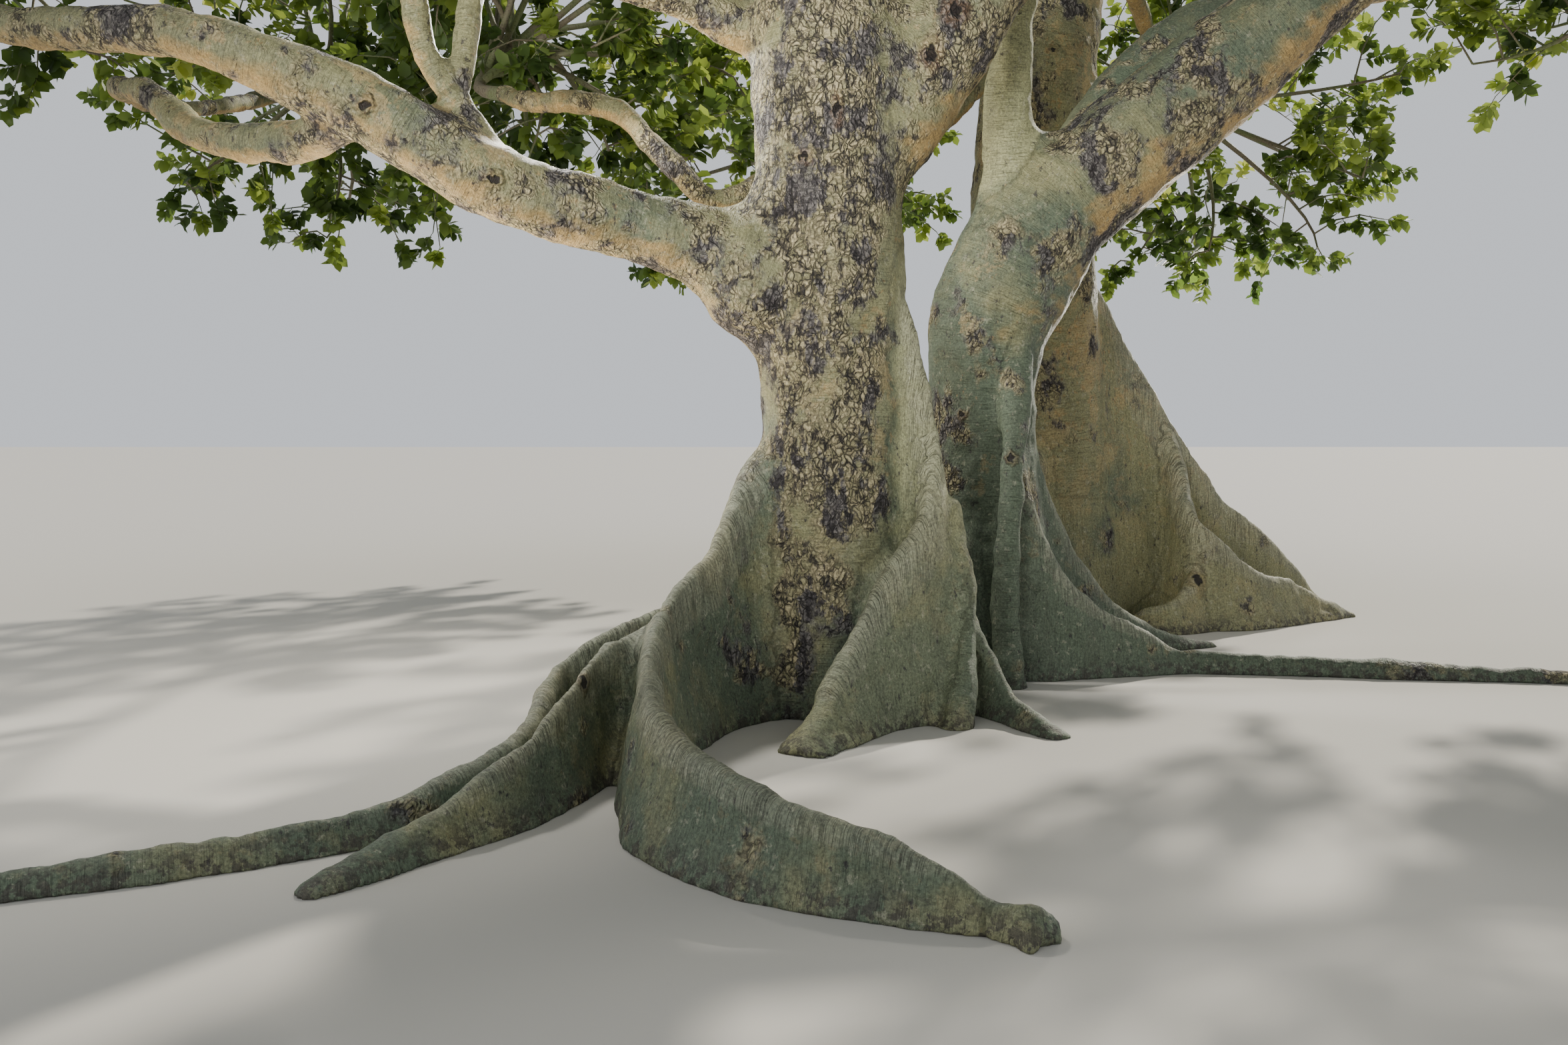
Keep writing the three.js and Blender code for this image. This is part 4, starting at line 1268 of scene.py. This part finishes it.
def twig_curves(stem, mass, draw, dice):
    """Roots, middles and ends of a mass's twigs, spread evenly all round, and the space that each has."""
    numbers = np.arange(TWIGS)
    turns = next(draw) * 2 * math.pi + numbers * GOLDEN_ANGLE
    up = 1 - (2 * numbers + 1) / TWIGS
    level = np.sqrt(1 - up**2)
    aims = np.stack([np.cos(turns) * level, np.sin(turns) * level, up], axis=1)
    free = room(mass, aims)[:, None]
    first, spread = TWIG_STARTS
    roots = np.array([stem.at(first + spread * next(draw)) for _ in numbers])
    centre = np.array(centres[mass])
    middles = centre + aims * free * 0.5 + dice.normal(0, TWIG_WANDER, (TWIGS, 3))
    ends = centre + aims * free * dice.uniform(*TWIG_REACH, (TWIGS, 1))
    return (roots, middles, ends), free


def spiral(headings, count, leans, dice):
    """Directions that leave twigs in a spiral, `count` from each, the last one more along its twig."""
    twigs = len(headings) // count
    numbers = np.arange(count)
    turns = np.tile(numbers * GOLDEN_ANGLE, twigs) + dice.uniform(0, WHOLE_TURN, len(headings))
    leaning = np.tile(np.where(numbers == count - 1, *leans), twigs)[:, None]
    return headings * leaning + around(headings, turns)


def side_curves(curves, free, mass, dice):
    """Roots, middles and ends of the side twigs on a mass's twigs, kept inside its space."""
    first, spread = SIDE_STARTS
    shares = first + spread * (np.arange(SIDE_TWIGS) + 0.75) / SIDE_TWIGS
    shares[-1] = 1
    roots = bends(*curves, shares).reshape(-1, 3)
    headings = unit(np.repeat(curves[2] - curves[1], SIDE_TWIGS, axis=0))
    aims = unit(spiral(headings, SIDE_TWIGS, SIDE_LEANS, dice) + (0, 0, SIDE_RISE))
    lengths = np.repeat(free, SIDE_TWIGS, axis=0) * dice.uniform(*SIDE_REACH, (len(roots), 1))
    centre = np.array(centres[mass])
    out = roots + aims * lengths - centre
    distance = np.linalg.norm(out, axis=1, keepdims=True)
    ends = centre + out * np.minimum(1, SIDE_LIMIT * room(mass, out / distance)[:, None] / distance)
    middles = (roots + ends) / 2 + (0, 0, SIDE_BOW) + dice.normal(0, SIDE_WANDER, roots.shape)
    return roots, middles, ends


def shoot_lines(curves, dice):
    """Roots and ends of the short shoots on side twigs."""
    roots = bends(*curves, np.linspace(SHOOT_START, 1, SHOOTS)).reshape(-1, 3)
    headings = unit(np.repeat(curves[2] - curves[0], SHOOTS, axis=0))
    aims = unit(spiral(headings, SHOOTS, SHOOT_LEANS, dice))
    ends = roots + aims * SHOOT_LENGTH * dice.uniform(*SHOOT_SPREAD, (len(roots), 1))
    return roots, ends


def merged(meshes):
    """The points and faces of many meshes as those of one."""
    starts = np.cumsum([0, *(len(points) for points, _ in meshes)])
    faces = [faces + start for start, (_, faces) in zip(starts, meshes)]
    return np.concatenate([points for points, _ in meshes]), np.concatenate(faces)


carried = {**OWN_RUN, **{name: carrier[0] for name, carrier in CARRIERS.items()}}
order = {name: i + 1 for i, name in enumerate([*MIDDLE_BOUGHS, *RIGHT_BOUGHS, *REAR_BOUGHS, *CARRIERS])}
twig_meshes = []
shoots = {}
for bough, mass in carried.items():
    draw = seeded(order[bough])
    dice = np.random.default_rng(order[bough])
    thickness = runs[bough].size(1)[0]
    stem = mass_stem(runs[bough], mass)
    twig_parts, free = twig_curves(stem, mass, draw, dice)
    side_parts = side_curves(twig_parts, free, mass, dice)
    shoots[mass] = shoot_lines(side_parts, dice)
    stem_line = np.array([stem.at(i / (STEM_RINGS - 1)) for i in range(STEM_RINGS)])[None]
    twig_meshes += [
        tube_mesh(stem_line, (thickness, thickness * STEM_TAPER), sides=10),
        tube_mesh(bends(*twig_parts, np.linspace(0, 1, TWIG_RINGS)), TWIG_SIZES, sides=5),
        tube_mesh(bends(*side_parts, np.linspace(0, 1, SIDE_RINGS)), SIDE_SIZES, sides=4),
        tube_mesh(np.stack(shoots[mass], axis=1), SHOOT_SIZES, sides=3),
    ]
twigs = mesh_piece("twigs", *merged(twig_meshes))
twigs.data.materials.append(twig_material())
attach(twigs, "root")
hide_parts(*centres)


# Leaves
# Broad leaves with a heart-shaped foot, folded a little along the rib, set in a spiral up each shoot.
# Every spray has one green, as painted shade and light: dark for inner ones in the shade, through to the
# yellow green of those that the sun shines through.
LEAVES_A_SHOOT = 12
LEAF_LENGTH = (0.095, 0.15)
LEAF_OUTLINE = [  # along the rib, across it and up, as shares of the length; the first is on the rib
    (0.45, 0, -0.04),
    (0.02, 0, 0),
    (0.2, -0.34, 0.05),
    (0.62, -0.36, 0.07),
    (1, 0, -0.03),
    (0.62, 0.36, 0.07),
    (0.2, 0.34, 0.05),
]
LEAF_STARTS = (0.15, 0.85)  # leaves sit on a shoot from this share of it, over this share
LEAF_LEAN = 0.55  # how far they lean along their shoot
LEAF_DROOP = 0.22
LEAF_FACE = (0.9, 0.35)  # how far their faces turn up, and along their shoot
TURN_WANDER = 0.4
AIM_WANDER = 0.15
FACE_WANDER = 0.38
MASSES_A_PIECE = 3
LEAF_SEED = 100
MIDDLE_TONE = 2.0  # the place in GREENS of a spray at three quarters of its mass's reach
# painted light: the outside and top of a mass get lighter greens, its middle and foot darker ones
OUTER_PAINTED_LIGHT = 2.2  # how much lighter the outside of a mass is than its middle
UPPER_PAINTED_LIGHT = 1.3  # and its top than its middle
TONE_SPREAD = 0.9
# lit and shaded copies of one leaf green, from painted shade to painted sunlight
GREENS = {
    "shade_green": (0.04, 0.075, 0.02),
    "deep_shade_green": (0.075, 0.125, 0.03),
    "leaf_green": (0.14, 0.205, 0.045),
    "lit_green": (0.24, 0.32, 0.075),
    "sunlit_green": (0.4, 0.46, 0.13),
}
LEAF_ROUGHNESS = 0.5
LEAF_SHINE = 0.35
SHINE_THROUGH = 0.38  # share of the light that passes through a leaf
GLOW = (1.9, 1.8, 1.2)  # how much stronger that light is than the leaf's own colour


def leaf_material(name, colour):
    """One plain green, through which some light passes."""
    material, tree, face = new_material(name)
    face.inputs["Base Color"].default_value = (*colour, 1)
    face.inputs["Roughness"].default_value = LEAF_ROUGHNESS
    face.inputs["Specular IOR Level"].default_value = LEAF_SHINE
    glow = [min(1, part * stronger) for part, stronger in zip(colour, GLOW)]
    through = add_node(tree, "ShaderNodeBsdfTranslucent", {"Color": (*glow, 1)}).outputs[0]
    inputs = {"Fac": SHINE_THROUGH, 1: face.outputs[0], 2: through}
    mix = add_node(tree, "ShaderNodeMixShader", inputs).outputs[0]
    tree.links.new(mix, tree.nodes["Material Output"].inputs["Surface"])
    return material


def spray_tones(masses, ends, dice):
    """Which green each spray has: painted shade, darker in the depth and foot of its mass, and painted light,
    lighter outside and on top, with some tone that differs at random.
    """
    counts = [len(shoots[mass][0]) for mass in masses]
    middles = np.repeat([centres[mass] for mass in masses], counts, axis=0)
    spreads = np.repeat([reaches[mass] for mass in masses], counts)
    outness = np.linalg.norm(ends - middles, axis=1) / spreads
    height = (ends - middles)[:, 2] / spreads
    tones = MIDDLE_TONE + OUTER_PAINTED_LIGHT * (outness - 0.75) + UPPER_PAINTED_LIGHT * height
    tones = tones + dice.normal(0, TONE_SPREAD, len(ends))
    return np.clip(np.round(tones), 0, len(GREENS) - 1)


def leaf_points(starts, ends, dice):
    """The points of the leaves on shoots: in a spiral up each, hanging a little, face up."""
    count = len(starts) * LEAVES_A_SHOOT
    numbers = np.arange(LEAVES_A_SHOOT)
    start, spread = LEAF_STARTS
    shares = np.tile(start + spread * (numbers + 0.5) / LEAVES_A_SHOOT, len(starts))[:, None]
    first, last = (np.repeat(rows, LEAVES_A_SHOOT, axis=0) for rows in (starts, ends))
    headings = unit(last - first)
    turns = np.tile(numbers * GOLDEN_ANGLE, len(starts)) + dice.normal(0, TURN_WANDER, count)
    turns += np.repeat(dice.uniform(0, WHOLE_TURN, len(starts)), LEAVES_A_SHOOT)
    along = around(headings, turns) + headings * LEAF_LEAN + (0, 0, -LEAF_DROOP)
    along = unit(along + dice.normal(0, AIM_WANDER, (count, 3)))
    face_up, face_along = LEAF_FACE
    upper = dice.normal(0, FACE_WANDER, (count, 3)) + (0, 0, face_up) + headings * face_along
    across = unit(np.cross(upper, along))
    upper = np.cross(along, across)
    lengths = dice.uniform(*LEAF_LENGTH, (count, 1))
    roots = first + (last - first) * shares
    shape = outline[None, :, :1] * along[:, None] + outline[None, :, 1:2] * across[:, None]
    shape = shape + outline[None, :, 2:] * upper[:, None]
    return (roots[:, None] + lengths[:, None] * shape).reshape(-1, 3)


greens = [leaf_material(name, colour) for name, colour in GREENS.items()]
outline = np.array(LEAF_OUTLINE)
fan = np.array([(0, i, i % 6 + 1) for i in range(1, 7)])
masses = list(shoots)
for number in range(0, len(masses), MASSES_A_PIECE):
    group = masses[number : number + MASSES_A_PIECE]
    dice = np.random.default_rng(LEAF_SEED + number)
    starts, ends = (np.concatenate([shoots[mass][i] for mass in group]) for i in (0, 1))
    tones = spray_tones(group, ends, dice)
    points = leaf_points(starts, ends, dice)
    firsts = np.arange(0, len(points), len(outline))
    faces = (fan[None] + firsts[:, None, None]).reshape(-1, 3)
    deals = np.repeat(tones, LEAVES_A_SHOOT * len(fan))
    leaves = mesh_piece(f"leaves_{number // MASSES_A_PIECE + 1}", points, faces, deals)
    for green in greens:
        leaves.data.materials.append(green)
    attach(leaves, "root")
    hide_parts(*group)


# Floor, light and camera
# A plain pale floor under an even pale sky. A low warm sun behind on the right rims the stems, and broad
# soft lamps under the crown light the bark that the foliage would keep dark.
FLOOR_SIZE = 160
FLOOR_LEVEL = -0.002  # just clear of the stems' flat cuts
FLOOR_GREY = (0.5, 0.48, 0.44, 1)
FLOOR_ROUGHNESS = 0.9
SKY = (0.9, 0.94, 1.0, 1)
SKY_STRENGTH = 0.8
CAMERA_PLACE = (-0.3, -7.2, 1.6)
CAMERA_PITCH = math.radians(85.5)
CAMERA_LENS = 28.8
SENSOR_WIDTH = 36
FRONT_LIGHT = (1, 0.98, 0.94)
COOL_LIGHT = (0.96, 0.98, 1)
SIDE_LIGHT = (1, 0.97, 0.9)
RIM_LIGHT = (1, 0.95, 0.85)
SUN_LIGHT = (1, 0.94, 0.82)
GROUND_GLOW = (1, 0.84, 0.6)
# Soft lamps: (place, place that it faces, watts, size, spread in degrees, colour)
SOFT_LAMPS = {
    "low_front_fill": ((-3.5, -8.5, 3.4), (0.4, 0, 2.6), 45, 3.5, 180, COOL_LIGHT),
    "high_front_fill": ((-3.5, -8.5, 3), (-0.2, 0, 4.3), 110, 2.5, 50, FRONT_LIGHT),
    "right_rim": ((6, 9, 2.4), (1, 0.5, 2.6), 70, 1.2, 50, RIM_LIGHT),
    "warm_ground": ((-3.2, 1, 0.7), (-1.4, -0.7, 3.2), 85, 1.6, 100, GROUND_GLOW),
    "left_fill": ((-9, -2.5, 3.2), (0.2, 0.2, 3.4), 70, 2, 180, SIDE_LIGHT),
    "bough_rim": ((-1.9, 1, 4.2), (-1.7, -0.6, 3), 190, 0.5, 180, SIDE_LIGHT),
}
SUN_PLACE = (9, 12, 12)
SUN_AIM = (0, 0, 2)
SUN_STRENGTH = 5
SUN_SIZE = math.radians(1.5)

bpy.ops.object.select_all(action="DESELECT")
bpy.ops.mesh.primitive_plane_add(size=FLOOR_SIZE, location=(0, 0, FLOOR_LEVEL))
floor = bpy.context.object
floor.name = "floor"
floor_paint, _, floor_face = new_material("pale_floor")
floor_face.inputs["Base Color"].default_value = FLOOR_GREY
floor_face.inputs["Roughness"].default_value = FLOOR_ROUGHNESS
floor.data.materials.append(floor_paint)

world = bpy.data.worlds.new("pale_sky")
bpy.context.scene.world = world
world.use_nodes = True
background = world.node_tree.nodes["Background"]
background.inputs["Color"].default_value = SKY
background.inputs["Strength"].default_value = SKY_STRENGTH


def lamp(name, kind, place, aim, strength, colour):
    """A lamp at a place, turned to face another."""
    direction = Vector(aim) - Vector(place)
    turn = direction.to_track_quat("-Z", "Y").to_euler()
    bpy.ops.object.light_add(type=kind, location=place, rotation=turn)
    made = bpy.context.object
    made.name = name
    made.data.energy = strength
    made.data.color = colour
    return made


sun = lamp("sun", "SUN", SUN_PLACE, SUN_AIM, SUN_STRENGTH, SUN_LIGHT)
sun.data.angle = SUN_SIZE
for name, (place, aim, strength, size, spread, colour) in SOFT_LAMPS.items():
    soft = lamp(name, "AREA", place, aim, strength, colour)
    soft.data.size = size
    soft.data.spread = math.radians(spread)
    soft.visible_camera = False

camera_data = bpy.data.cameras.new("photo_camera")
camera_data.lens = CAMERA_LENS
camera_data.sensor_width = SENSOR_WIDTH
camera = bpy.data.objects.new("photo_camera", camera_data)
camera.location = CAMERA_PLACE
camera.rotation_euler = (CAMERA_PITCH, 0, 0)
bpy.context.scene.collection.objects.link(camera)
bpy.context.scene.camera = camera
